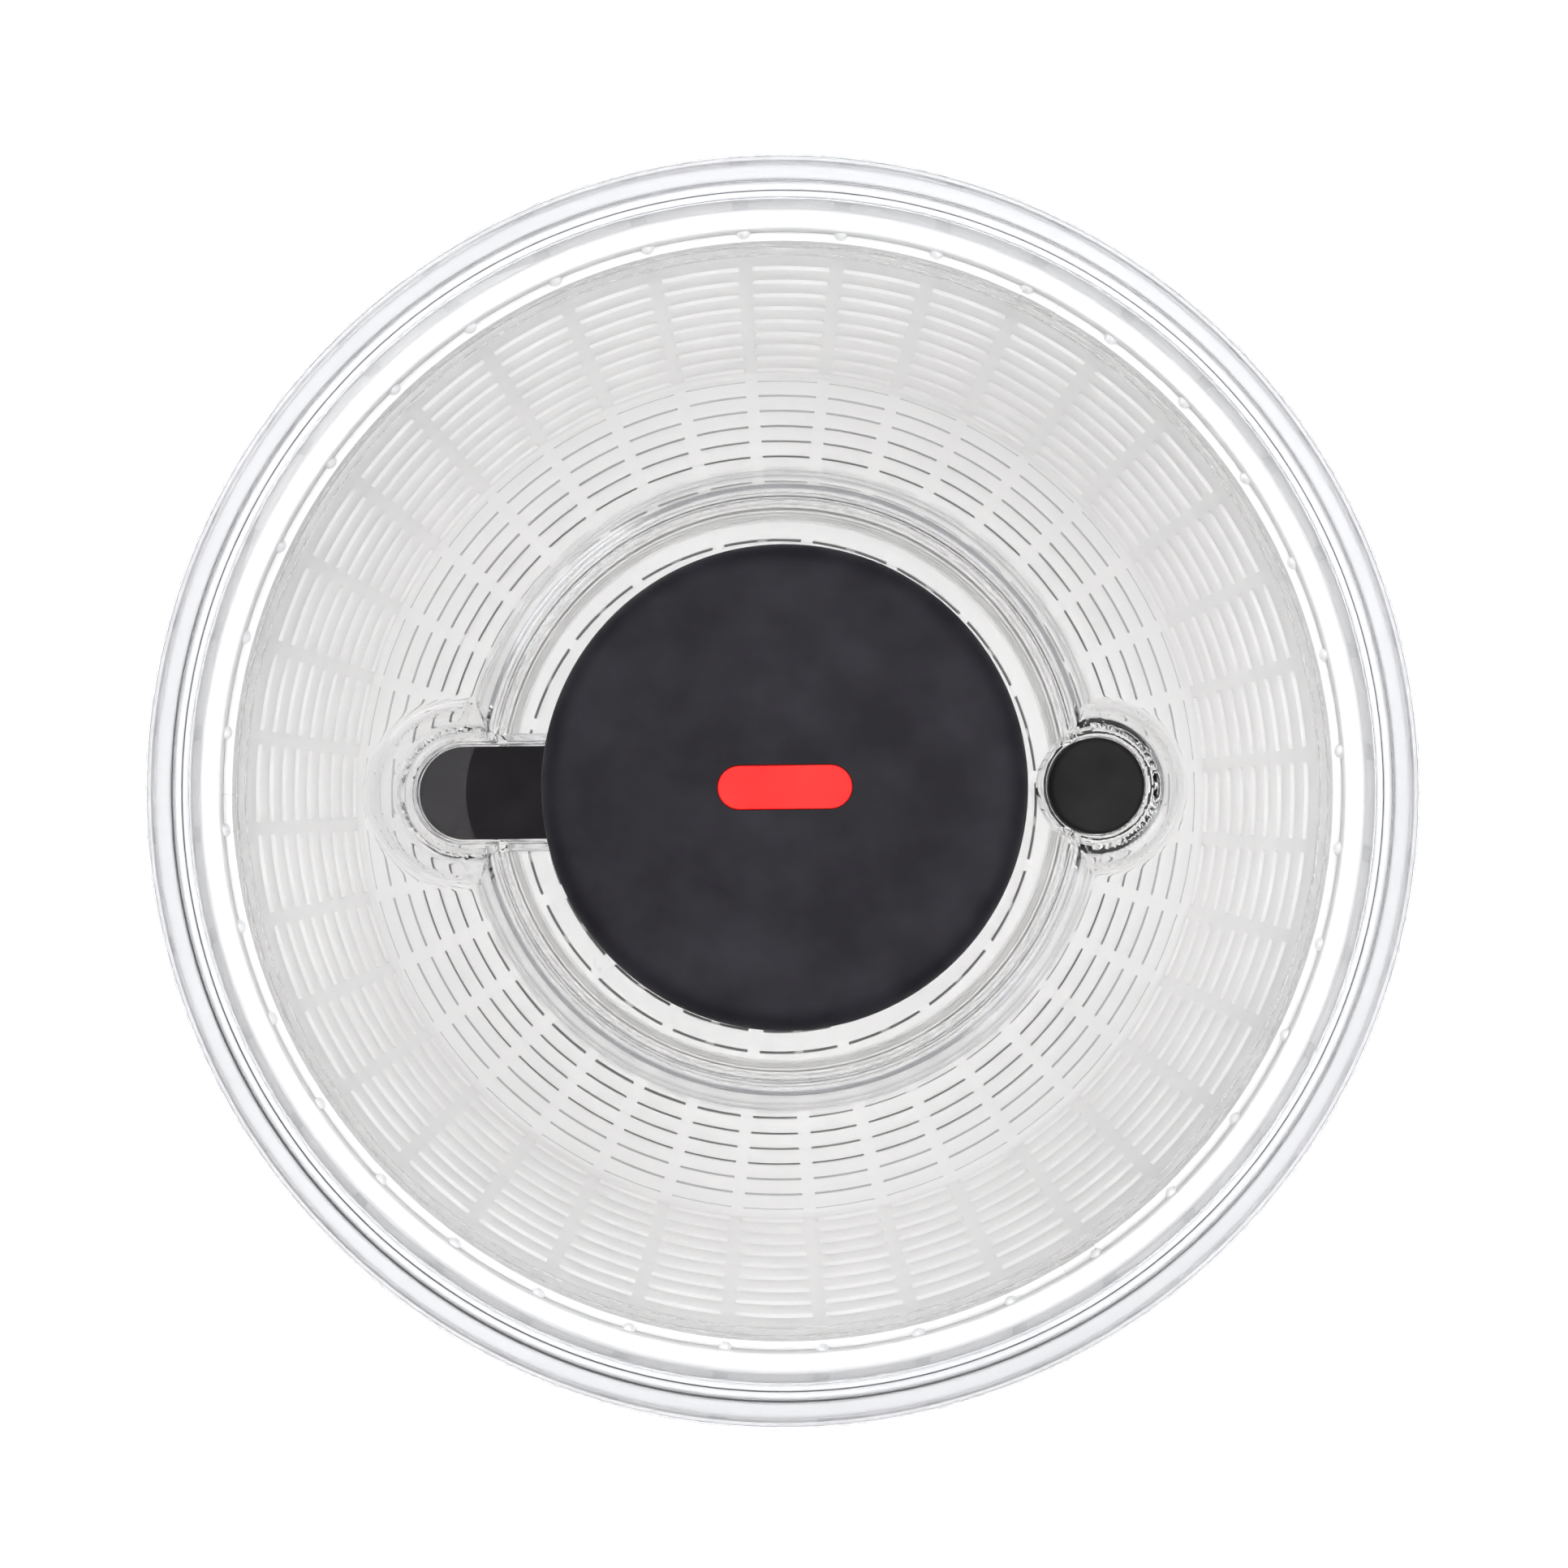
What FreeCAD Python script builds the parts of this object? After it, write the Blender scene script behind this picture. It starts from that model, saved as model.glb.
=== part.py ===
import FreeCAD
import Part
import math
import os
from FreeCAD import Vector

# Salad spinner with a push-down knob. Millimetres, +Z up, origin on the table under the bowl's centre.
# +X runs to the brake button and -X to the lock lever. The knob stands released, at the top of its stroke.

# ---- Bowl ----
LID_R = 133.35            # 10.5 in across the lid
BOWL_TOP = 150.0          # the bowl's rim above the table
BOWL_WALL = 2.2
BOWL_IN_R = 125.9         # inner wall radius at the rim
BOWL_TAPER = 0.1192       # radius lost per mm of depth
BOWL_FLOOR = (4.0, 6.5)   # underside and top of the floor
BOWL_CORNER = (24.0, 22.0)  # floor-to-wall fillet, outside and inside
BOWL_LIP_R = 131.0
BOWL_LIP_THICK = 2.5
FOOT_R = (86.0, 88.0)     # rib under the floor that the base ring grips
FOOT_TIP = 2.1
BASE_RING_R = (83.0, 91.0)
BASE_RING_Z = (0.0, 4.0)
PIVOT_R = (9.0, 3.5)      # cone that the basket turns on: at the floor and at its tip
PIVOT_TOP = 22.0

# ---- Basket ----
BASKET_IN_R = 117.6       # inner wall radius at its top
BASKET_TOP = 144.0
BASKET_TAPER = 0.1352
BASKET_WALL = 1.8
BASKET_FLOOR = (17.0, 19.0)
BASKET_LIP_R = 122.0
BASKET_LIP_Z = (142.0, 145.0)
RIB_COUNT = 36
RIB_START = 3.4           # degrees, the first rib's bearing
RIB_R = (1.3, 1.65)       # half-round rib, at the floor and at the top
WALL_SLOT_ROWS = 4
WALL_SLOT_PITCH = 21.8
WALL_SLOT_Z = 49.2        # middle of the lowest row
WALL_SLOT_HIGH = 9.0
FLOOR_SLOT_ROWS = 3
FLOOR_SLOT_R = 46.0       # middle of the innermost row
FLOOR_SLOT_PITCH = 18.0
FLOOR_SLOT_WIDE = 5.0
SLOT_DEG = 6.4
LUG_COUNT = 3
LUG_BEARING = 181.7       # degrees, the first drive lug
LUG_WIDE = 8.0
LUG_TIP_R = 121.0
LUG_Z = (143.4, 145.2)
LUG_PLAY = 0.4            # gap between a lug and each side of its notch

# ---- Lid ----
SKIN = 2.0                    # thickness of the lid and the disc
DOME_EDGE = (124.0, 152.5)    # where the dome meets the rim bead: radius, height
DOME_TOP = (66.0, 160.0)      # where the dome meets the turret
LID_RIM_Z = (147.0, 155.0)    # rim bead, its skirt's lower edge and its top
LID_SKIRT_IN_R = 131.45       # the skirt passes outside the bowl's lip
LID_SEAT_Z = 150.3            # underside that rests over the bowl's lip
LID_SPIGOT_R = (123.2, 125.0) # ring that drops inside the bowl's rim
LID_SPIGOT_Z = 146.0
LAND_Z = 169.0                # flat ring round the pump well
LAND_R = 60.9                 # its outer edge
WELL_R = (57.8, 58.5)         # well radius at its floor and its mouth
WELL_WALL = 1.8
WELL_FLOOR = (128.0, 130.0)
WELL_HOLE_R = 20.0

POD_HALF = (19.6, 12.1)       # half-width of the lever's pod at the dome and at its top
POD_Z = (152.0, 158.0, 168.3) # pod's foot, the dome's level and the pod's top
POD_INNER_X = -50.0
LEVER_END_X = -65.3           # centre of the lever's round end
TROUGH_HALF = 9.95            # inside half-width of the lever's channel
TROUGH_WALL = 2.1
TROUGH_FLOOR = (155.5, 157.5)
TROUGH_INNER_X = -34.0
STEM_SLOT_HALF = 2.8
BUTTON_X = 64.1
BUTTON_POD_R = (20.5, 12.0)   # outside of the button's pod, at its foot and at its top
BUTTON_ROOM_R = (18.7, 10.4)  # inside of it
TUBE_R = (10.15, 11.5)
TUBE_Z = (152.0, 153.5, 169.0)  # underside, floor and mouth of the button's tube

# ---- Drive ----
DISC_R = 114.8
DISC_TOP = 146.4
DISC_SKIRT_Z = 139.0
NECK_R = (60.3, 62.1)
PLATE_Z = (122.0, 124.0)
HUB_R = 17.0
HUB_BORE = 13.0
HUB_FLANGE_R = 26.0
HUB_Z = (115.0, 119.5, 131.6)   # shoulder, flange underside and top
HUB_GROOVE_Z = (130.1, 131.1)
CUP_R = (6.6, 8.8)
CUP_Z = (73.8, 76.0, 117.0)     # underside, floor and mouth of the spindle's cup
TOOTH_COUNT = 12
TOOTH_Z = (118.0, 126.0)
TOOTH_TIP_R = 11.9
HUB_SCREW_R = 21.5
HUB_SCREW_COUNT = 4
NUT_R = 9.2
NUT_Z = (117.4, 126.8)
PAWL_R = 11.5
PAWL_Z = (119.0, 125.0)
PAWL_COUNT = 3

# ---- Pump ----
KNOB_R = 47.5
KNOB_Z = (204.0, 222.0)
KNOB_WALL = 2.5
KNOB_STROKE = 34.0
CORE_PLATE_Z = (214.0, 217.0)
PLUNGER_R = (6.4, 9.1)
PLUNGER_STOP = (10.4, 164.0, 166.0)  # stop flange: radius, underside and top
SKIRT_R = (28.0, 30.5)
SKIRT_LOW = 167.5
BADGE_HALF = (13.1, 4.3)        # half-length and half-width
BADGE_DEEP = 0.8
SPINDLE_SIDE = 7.2
SPINDLE_LEAD = 42.0
SPINDLE_Z = (112.0, 214.0)
SPRING_R = 16.0
SPRING_WIRE = 1.6
SPRING_TURNS = 9
COIL_STEPS = 20                 # straight runs in each turn of a spring
COIL_SIDES = 8
SLEEVE_R = (10.6, 12.8)         # housing's guide for the plunger
SLEEVE_TOP = 172.0
HAT_R = (12.4, 22.0, 24.0, 38.0)  # sleeve's foot, hat inside and outside, flange edge
HAT_Z = (130.0, 132.0, 132.6, 134.6)  # flange underside and top, hat underside and top
BUSH_R = 9.2
BUSH_Z = (166.5, 173.5)
HOUSING_SCREW_R = 34.3
HOUSING_SCREW_COUNT = 3
HOUSING_SCREW_START = 30.0

# ---- Brake and lock ----
CAP_R = (8.4, 9.9)              # button's skirt, inside and outside
CAP_Z = (157.5, 166.0, 170.2)   # skirt's lower edge, inside top and crown
BRAKE_STEM_R = 2.9
BRAKE_STEM_LOW = 150.6
BRAKE_PIN_R = 1.7
BRAKE_PAD_R = 3.5
BRAKE_PAD_LOW = 149.0
BRAKE_GROOVE = (2.3, 151.2, 151.9)
BRAKE_CLIP_R = 3.65
BRAKE_SPRING = (6.2, 0.8, 5)    # mean radius, wire and turns
LOCK_TRAVEL = 6.0
LOCK_STEM_X = -48.0
LOCK_STEM_R = 2.4
LOCK_STEM_LOW = 153.2
LOCK_GROOVE = (1.8, 154.0, 155.2)
LOCK_CLIP_R = 4.5
LEVER_HALF = 9.55
LEVER_TOP = 166.5
LEVER_INNER_X = -40.0
LEVER_RIDGE_X = -65.6           # finger ridge, between two shallow dishes
DISH_R = 22.7                   # a dish's outline in plan
DISH_GAP = 0.4                  # from the ridge's middle to each dish's edge
DISH_SPHERE_R = 90.0
TONGUE_X = (-41.0, -32.0)
TONGUE_HALF = 4.0
TONGUE_Z = (159.5, 162.0)

PLAY = 0.3                      # gap between a moving piece and its neighbour
EASE = 0.05                     # radial gap of a snug fit
BEYOND = 5.0                    # how far a cutting shape passes the surface it opens

ORIGIN = Vector(0, 0, 0)
UP = Vector(0, 0, 1)


# ---- Shape helpers ----
def outline(corners):
    """Closed wire in the XZ plane. A corner is (r, z) or (r, z, fillet radius)."""
    places = [Vector(corner[0], 0, corner[1]) for corner in corners]
    tangents = []
    for number, corner in enumerate(corners):
        here = places[number]
        if len(corner) == 2:
            tangents.append((here, here, None))
            continue
        back = (places[number - 1] - here).normalize()
        onward = (places[(number + 1) % len(corners)] - here).normalize()
        half = back.getAngle(onward) / 2
        cut = corner[2] / math.tan(half)
        bulge = corner[2] / math.sin(half) - corner[2]
        middle = here + (back + onward).normalize() * bulge
        tangents.append((here + back * cut, here + onward * cut, middle))
    edges = []
    for number, (start, end, middle) in enumerate(tangents):
        if middle is not None:
            edges.append(Part.Arc(start, middle, end).toShape())
        following = tangents[(number + 1) % len(corners)][0]
        if (following - end).Length > 1e-6:
            edges.append(Part.LineSegment(end, following).toShape())
    return Part.Wire(edges)


def revolve(corners, degrees=360.0, start=0.0):
    """Solid of revolution about Z from an outline."""
    solid = Part.Face(outline(corners)).revolve(ORIGIN, UP, degrees)
    return turned(solid, start)


def turned(shape, degrees):
    """A copy turned about Z."""
    copy = shape.copy()
    copy.rotate(ORIGIN, UP, degrees)
    return copy


def ring(inner, outer, low, high, fillet=0.0):
    """Tube about Z, with its outer edges rounded when a fillet is given."""
    if fillet:
        return revolve([(inner, low), (outer, low, fillet), (outer, high, fillet), (inner, high)])
    return revolve([(inner, low), (outer, low), (outer, high), (inner, high)])


def rod(radius, low, high, x=0.0, y=0.0):
    """Upright cylinder."""
    return Part.makeCylinder(radius, high - low, Vector(x, y, low))


def box(x_range, y_range, z_range):
    """Box from its ranges along X, Y and Z."""
    size = [pair[1] - pair[0] for pair in (x_range, y_range, z_range)]
    return Part.makeBox(size[0], size[1], size[2], Vector(x_range[0], y_range[0], z_range[0]))


def slot_wire(half, x_low, x_high, z):
    """Stadium whose round ends are centred at x_low and x_high."""
    left_tip = Vector(x_low - half, 0, z)
    right_tip = Vector(x_high + half, 0, z)
    corners = [Vector(x, y, z) for x, y in ((x_low, half), (x_low, -half), (x_high, -half), (x_high, half))]
    return Part.Wire([
        Part.Arc(corners[0], left_tip, corners[1]).toShape(),
        Part.LineSegment(corners[1], corners[2]).toShape(),
        Part.Arc(corners[2], right_tip, corners[3]).toShape(),
        Part.LineSegment(corners[3], corners[0]).toShape(),
    ])


def slot_solid(half, x_low, x_high, low, high):
    """Upright prism with a stadium's outline."""
    return Part.Face(slot_wire(half, x_low, x_high, low)).extrude(Vector(0, 0, high - low))


def around(shape, count, start=0.0):
    """Copies of a shape, evenly spaced about Z."""
    return [turned(shape, start + number * 360.0 / count) for number in range(count)]


def united(first, others):
    return first.multiFuse(others).removeSplitter()


# ---- Bowl ----
def bowl_inner_r(z):
    return BOWL_IN_R - (BOWL_TOP - z) * BOWL_TAPER


def make_bowl():
    """Clear bowl with an out-turned lip, a foot rib and the cone that the basket turns on."""
    under, top = BOWL_FLOOR
    lip_under = BOWL_TOP - BOWL_LIP_THICK
    return revolve([
        (0, under),
        (FOOT_R[0], under),
        (FOOT_R[0], FOOT_TIP),
        (FOOT_R[1], FOOT_TIP),
        (FOOT_R[1], under),
        (bowl_inner_r(under) + BOWL_WALL, under, BOWL_CORNER[0]),
        (bowl_inner_r(lip_under) + BOWL_WALL, lip_under, 0.6),
        (BOWL_LIP_R, lip_under, 0.8),
        (BOWL_LIP_R, BOWL_TOP, 0.8),
        (BOWL_IN_R, BOWL_TOP, 0.5),
        (bowl_inner_r(top), top, BOWL_CORNER[1]),
        (PIVOT_R[0], top, 3.0),
        (PIVOT_R[1], PIVOT_TOP, 1.5),
        (0, PIVOT_TOP),
    ])


def make_bowl_base_ring():
    """Soft non-slip ring under the bowl, with a groove for the foot rib."""
    inner, outer = BASE_RING_R
    low, high = BASE_RING_Z
    groove_floor = FOOT_TIP - 0.1
    return revolve([
        (inner, low, 1.0),
        (outer, low, 1.0),
        (outer, high),
        (FOOT_R[1] + EASE, high),
        (FOOT_R[1] + EASE, groove_floor),
        (FOOT_R[0] - EASE, groove_floor),
        (FOOT_R[0] - EASE, high),
        (inner, high),
    ])


# ---- Basket ----
def basket_inner_r(z):
    return BASKET_IN_R - (BASKET_TOP - z) * BASKET_TAPER


def basket_rib():
    """Half-round rib up the inside of the wall."""
    foot_z = BASKET_FLOOR[1] + 0.5
    head_z = BASKET_TOP - 1.0
    foot = Vector(basket_inner_r(foot_z), 0, foot_z)
    along = Vector(basket_inner_r(head_z), 0, head_z) - foot
    return Part.makeCone(RIB_R[0], RIB_R[1], along.Length, foot, along)


def slot_row(near, far, low, high):
    """Cutters for one row of drain slots, one slot midway between each pair of ribs."""
    start = RIB_START + (360.0 / RIB_COUNT - SLOT_DEG) / 2
    cutter = revolve([(near, low), (far, low), (far, high), (near, high)], SLOT_DEG)
    return around(cutter, RIB_COUNT, start)


def basket_slots():
    """Drain slots in rows up the wall and rings round the floor."""
    slots = []
    for row in range(WALL_SLOT_ROWS):
        middle = WALL_SLOT_Z + row * WALL_SLOT_PITCH
        radius = basket_inner_r(middle)
        slots += slot_row(radius - BEYOND, radius + BEYOND,
                          middle - WALL_SLOT_HIGH / 2, middle + WALL_SLOT_HIGH / 2)
    for row in range(FLOOR_SLOT_ROWS):
        middle = FLOOR_SLOT_R + row * FLOOR_SLOT_PITCH
        slots += slot_row(middle - FLOOR_SLOT_WIDE / 2, middle + FLOOR_SLOT_WIDE / 2,
                          BASKET_FLOOR[0] - BEYOND, BASKET_FLOOR[1] + 1.0)
    return slots


def make_basket():
    """Slotted basket with a lip, notched for the drive lugs, and a cup that sits over the bowl's cone."""
    under, floor = BASKET_FLOOR
    lip_low, lip_high = BASKET_LIP_Z
    cup_under, cup_top = PIVOT_TOP + 0.5, PIVOT_TOP + 3.0
    shell = revolve([
        (0, cup_under),
        (PIVOT_R[1] + 1.0, cup_under, 1.0),
        (PIVOT_R[1] + 2.9, under),
        (basket_inner_r(under) + BASKET_WALL, under, 8.0),
        (basket_inner_r(lip_low) + BASKET_WALL, lip_low),
        (BASKET_LIP_R, lip_low, 0.8),
        (BASKET_LIP_R, lip_high, 0.8),
        (BASKET_IN_R, lip_high, 0.4),
        (basket_inner_r(floor), floor, 6.0),
        (PIVOT_R[1] + 6.0, floor, 2.0),
        (PIVOT_R[1] + 4.0, cup_top, 1.5),
        (0, cup_top),
    ])
    shell = shell.multiFuse(around(basket_rib(), RIB_COUNT, RIB_START))
    notch_half = LUG_WIDE / 2 + LUG_PLAY
    notch = box((DISC_R - 2.8, BASKET_LIP_R + 3.0), (-notch_half, notch_half),
                (LUG_Z[0] - LUG_PLAY, BASKET_LIP_Z[1] + 1.0))
    cuts = basket_slots() + around(notch, LUG_COUNT, LUG_BEARING)
    return shell.cut(Part.makeCompound(cuts))


# ---- Lid cover ----
def pod_loft(half_low, half_high, end_x, inner_x, low, high):
    """Tapering pod with a stadium's outline."""
    return Part.makeLoft([
        slot_wire(half_low, end_x, inner_x, low),
        slot_wire(half_high, end_x, inner_x, high),
    ], True)


def well_wall():
    """Near-upright wall of the pump well."""
    low, high = WELL_FLOOR[0], LAND_Z - 1.0
    return revolve([
        (WELL_R[0], low),
        (WELL_R[0] + WELL_WALL, low),
        (WELL_R[1] + WELL_WALL, high),
        (WELL_R[1], high),
    ])


def lid_shell():
    """Rim bead and skirt, spigot, dome, turret and the well's floor, as one turned section."""
    dome_under = (DOME_TOP[0] - 2.6, DOME_TOP[1] - SKIN)
    return revolve([
        (WELL_HOLE_R, WELL_FLOOR[0]),
        (WELL_R[0] + WELL_WALL, WELL_FLOOR[0], 1.0),
        (WELL_R[1] + WELL_WALL - 0.2, LAND_Z - 2.6),
        dome_under,
        (DOME_EDGE[0] - 0.8, DOME_EDGE[1] - SKIN),
        (LID_SPIGOT_R[0], LID_SPIGOT_Z),
        (LID_SPIGOT_R[1], LID_SPIGOT_Z),
        (LID_SPIGOT_R[1], LID_SEAT_Z),
        (LID_SKIRT_IN_R, LID_SEAT_Z),
        (LID_SKIRT_IN_R, LID_RIM_Z[0]),
        (LID_R, LID_RIM_Z[0], 0.5),
        (LID_R, LID_RIM_Z[1], 3.6),
        (DOME_EDGE[0] + 2.2, LID_RIM_Z[1], 1.8),
        (DOME_EDGE[0], DOME_EDGE[1], 2.0),
        (DOME_TOP[0], DOME_TOP[1], 2.5),
        (LAND_R, LAND_Z, 1.2),
        (WELL_R[1], LAND_Z, 0.8),
        (WELL_R[0], WELL_FLOOR[1], 1.5),
        (WELL_HOLE_R, WELL_FLOOR[1]),
    ])


def lid_pods():
    """Hollow pods round the lever and the button, with the rooms inside them."""
    foot, dome, top = POD_Z
    slope = (POD_HALF[0] - POD_HALF[1]) / (top - dome)
    wide = POD_HALF[0] + slope * (dome - foot)
    lever_pod = pod_loft(wide, POD_HALF[1], LEVER_END_X, POD_INNER_X, foot, top)
    lever_room = pod_loft(wide - SKIN, POD_HALF[1] - SKIN + slope, LEVER_END_X, POD_INNER_X, foot, top - 1.0)
    place = Vector(BUTTON_X, 0, foot)
    button_pod = Part.makeCone(BUTTON_POD_R[0], BUTTON_POD_R[1], LAND_Z - foot, place)
    button_room = Part.makeCone(BUTTON_ROOM_R[0], BUTTON_ROOM_R[1], LAND_Z - 1.0 - foot, place)
    under_dome = revolve([
        (0, WELL_FLOOR[1]),
        (LID_SPIGOT_R[0] - 0.2, WELL_FLOOR[1]),
        (LID_SPIGOT_R[0] - 0.2, DOME_EDGE[1] - SKIN),
        (DOME_TOP[0] - 2.6, DOME_TOP[1] - SKIN),
        (0, LAND_Z - 2.6),
    ])
    mid_wall = WELL_WALL / 2
    inside_well = revolve([
        (0, WELL_FLOOR[0]),
        (WELL_R[0] + mid_wall, WELL_FLOOR[0]),
        (WELL_R[1] + mid_wall, LAND_Z + 2),
        (0, LAND_Z + 2),
    ])
    rooms = lever_room.fuse(button_room)
    pods = lever_pod.fuse(button_pod).cut(rooms).cut(under_dome).cut(inside_well)
    return pods, rooms.cut(inside_well)


def make_lid_cover():
    """Clear lid: domed ring, turret with the pump well, lever pod and brake button pod."""
    aside = (-20.0, 20.0)
    pods, rooms = lid_pods()
    trough = slot_solid(TROUGH_HALF + TROUGH_WALL, LEVER_END_X, TROUGH_INNER_X, TROUGH_FLOOR[0], POD_Z[2])
    trough = trough.cut(box((TROUGH_INNER_X, 0), aside, (TROUGH_FLOOR[0] - BEYOND, LAND_Z)))
    tube = rod(TUBE_R[1], TUBE_Z[0], TUBE_Z[2], BUTTON_X)
    boss = rod(3.0, WELL_FLOOR[0] - 3.0, WELL_FLOOR[0], HOUSING_SCREW_R)
    bosses = around(boss, HOUSING_SCREW_COUNT, HOUSING_SCREW_START)
    cover = lid_shell().cut(rooms).multiFuse([pods, well_wall(), trough, tube] + bosses)

    channel = slot_solid(TROUGH_HALF, LEVER_END_X, TROUGH_INNER_X + 20.0, TROUGH_FLOOR[1], LAND_Z + BEYOND)
    channel = channel.common(box((-90.0, TROUGH_INNER_X), aside, (TROUGH_FLOOR[0], LAND_Z + 2 * BEYOND)))
    stem_slot = slot_solid(STEM_SLOT_HALF, LOCK_STEM_X, LOCK_STEM_X + LOCK_TRAVEL,
                           TROUGH_FLOOR[0] - 1, TROUGH_FLOOR[1] + 1)
    button_bore = rod(TUBE_R[0], TUBE_Z[1], LAND_Z + BEYOND, BUTTON_X)
    stem_hole = rod(BRAKE_STEM_R + 0.15, TUBE_Z[0] - 1, TUBE_Z[1] + 1, BUTTON_X)
    screw_hole = rod(1.45, WELL_FLOOR[0] - 2.2, WELL_FLOOR[1] + 1, HOUSING_SCREW_R)
    screw_holes = around(screw_hole, HOUSING_SCREW_COUNT, HOUSING_SCREW_START)
    return cover.cut(Part.makeCompound([channel, stem_slot, button_bore, stem_hole] + screw_holes))


# ---- Drive ----
def make_drive_disc():
    """Clear dish under the lid that turns the basket through three lugs."""
    bore = HUB_R + 0.1
    dish = revolve([
        (bore, PLATE_Z[0]),
        (NECK_R[1], PLATE_Z[0], 2.0),
        (NECK_R[1], DISC_TOP - SKIN, 1.5),
        (DISC_R - SKIN, DISC_TOP - SKIN, 0.8),
        (DISC_R - SKIN, DISC_SKIRT_Z),
        (DISC_R, DISC_SKIRT_Z),
        (DISC_R, DISC_TOP, 2.0),
        (NECK_R[0], DISC_TOP, 2.5),
        (NECK_R[0], PLATE_Z[1], 1.0),
        (bore, PLATE_Z[1]),
    ])
    lug = box((DISC_R - 1.0, LUG_TIP_R), (-LUG_WIDE / 2, LUG_WIDE / 2), LUG_Z)
    hole = rod(1.5, PLATE_Z[0] - 1, PLATE_Z[1] - 0.5, HUB_SCREW_R)
    dish = dish.multiFuse(around(lug, LUG_COUNT, LUG_BEARING))
    return dish.cut(Part.makeCompound(around(hole, HUB_SCREW_COUNT)))


def ratchet_tooth():
    """One saw tooth on the wall of the hub's pocket."""
    root = HUB_BORE + 0.4
    corners = [Vector(x, y, TOOTH_Z[0]) for x, y in (
        (root, -1.6), (TOOTH_TIP_R, -0.2), (TOOTH_TIP_R, 0.2), (root, 0.4), (root, -1.6))]
    return Part.Face(Part.Wire(Part.makePolygon(corners))).extrude(Vector(0, 0, TOOTH_Z[1] - TOOTH_Z[0]))


def make_drive_hub():
    """Hub under the disc: journal, ratchet pocket, and the closed cup that the spindle runs down into."""
    groove_r = HUB_R - 1.0
    hub = revolve([
        (0, CUP_Z[0]),
        (CUP_R[1], CUP_Z[0], 3.0),
        (CUP_R[1], HUB_Z[0], 2.0),
        (HUB_R, HUB_Z[0], 1.0),
        (HUB_R, HUB_Z[1]),
        (HUB_FLANGE_R, HUB_Z[1]),
        (HUB_FLANGE_R, PLATE_Z[0]),
        (HUB_R, PLATE_Z[0]),
        (HUB_R, HUB_GROOVE_Z[0]),
        (groove_r, HUB_GROOVE_Z[0]),
        (groove_r, HUB_GROOVE_Z[1]),
        (HUB_R, HUB_GROOVE_Z[1]),
        (HUB_R, HUB_Z[2]),
        (HUB_BORE, HUB_Z[2]),
        (HUB_BORE, CUP_Z[2]),
        (CUP_R[0], CUP_Z[2]),
        (CUP_R[0], CUP_Z[1], 2.0),
        (0, CUP_Z[1]),
    ])
    hole = rod(1.5, HUB_Z[1] - 1.5, PLATE_Z[0] + 1, HUB_SCREW_R)
    hub = hub.multiFuse(around(ratchet_tooth(), TOOTH_COUNT))
    return hub.cut(Part.makeCompound(around(hole, HUB_SCREW_COUNT)))


def screw(x, head_z, head_low, shank_far, head_r=2.6, shank_r=1.4):
    """Pan-head screw with a cross recess; head_low says whether the head is at the bottom."""
    head_high = head_z + 1.9
    deep, wide, half = 0.9, 1.5, 0.35
    head = rod(head_r, head_z, head_high, x)
    low, high = (head_high, shank_far) if head_low else (shank_far, head_z)
    recess_z = (head_z - 0.1, head_z + deep) if head_low else (head_high - deep, head_high + 0.1)
    cross = box((x - wide, x + wide), (-half, half), recess_z)
    cross = cross.fuse(box((x - half, x + half), (-wide, wide), recess_z))
    return head.fuse(rod(shank_r, low, high, x)).removeSplitter().cut(cross)


def make_disc_screws():
    """Four screws up through the hub's flange into the disc."""
    one = screw(HUB_SCREW_R, HUB_Z[1] - 1.9, True, PLATE_Z[1] - 0.7)
    return Part.makeCompound(around(one, HUB_SCREW_COUNT))


def make_drive_nut():
    """Twisted-bore nut with three moulded pawl arms."""
    nut = rod(NUT_R, NUT_Z[0], NUT_Z[1])
    arm = box((NUT_R - 1.2, PAWL_R), (-1.6, 1.6), PAWL_Z).common(rod(PAWL_R, PAWL_Z[0], PAWL_Z[1]))
    nut = united(nut, around(arm, PAWL_COUNT, 15.0))
    return nut.cut(twisted_bar(SPINDLE_SIDE + 0.16, NUT_Z[0] - 1.4, NUT_Z[1] + 1.2))


def make_nut_washer():
    return ring(PLUNGER_R[0] - 0.7, PAWL_R - 0.1, NUT_Z[1] + 0.2, NUT_Z[1] + 1.2)


# ---- Spindle ----
def twisted_bar(side, low, high):
    """Square bar with a right-hand twist. Its angle depends on height alone, so the nut's bore matches it."""
    sections = []
    steps = max(2, round((high - low) / (SPINDLE_LEAD / 24)))
    half = side / 2
    for step in range(steps + 1):
        z = low + (high - low) * step / steps
        corners = [Vector(x, y, z) for x, y in ((half, half), (-half, half), (-half, -half), (half, -half))]
        square = Part.makePolygon(corners + corners[:1])
        square.rotate(Vector(0, 0, z), UP, 360.0 * z / SPINDLE_LEAD)
        sections.append(square)
    return Part.makeLoft(sections, True, False)


def make_spiral_spindle():
    """Twisted spindle with a screw hole in its top end."""
    bar = twisted_bar(SPINDLE_SIDE, SPINDLE_Z[0], SPINDLE_Z[1])
    return bar.cut(rod(1.95, SPINDLE_Z[1] - 11.0, SPINDLE_Z[1] + 1.0))


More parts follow.
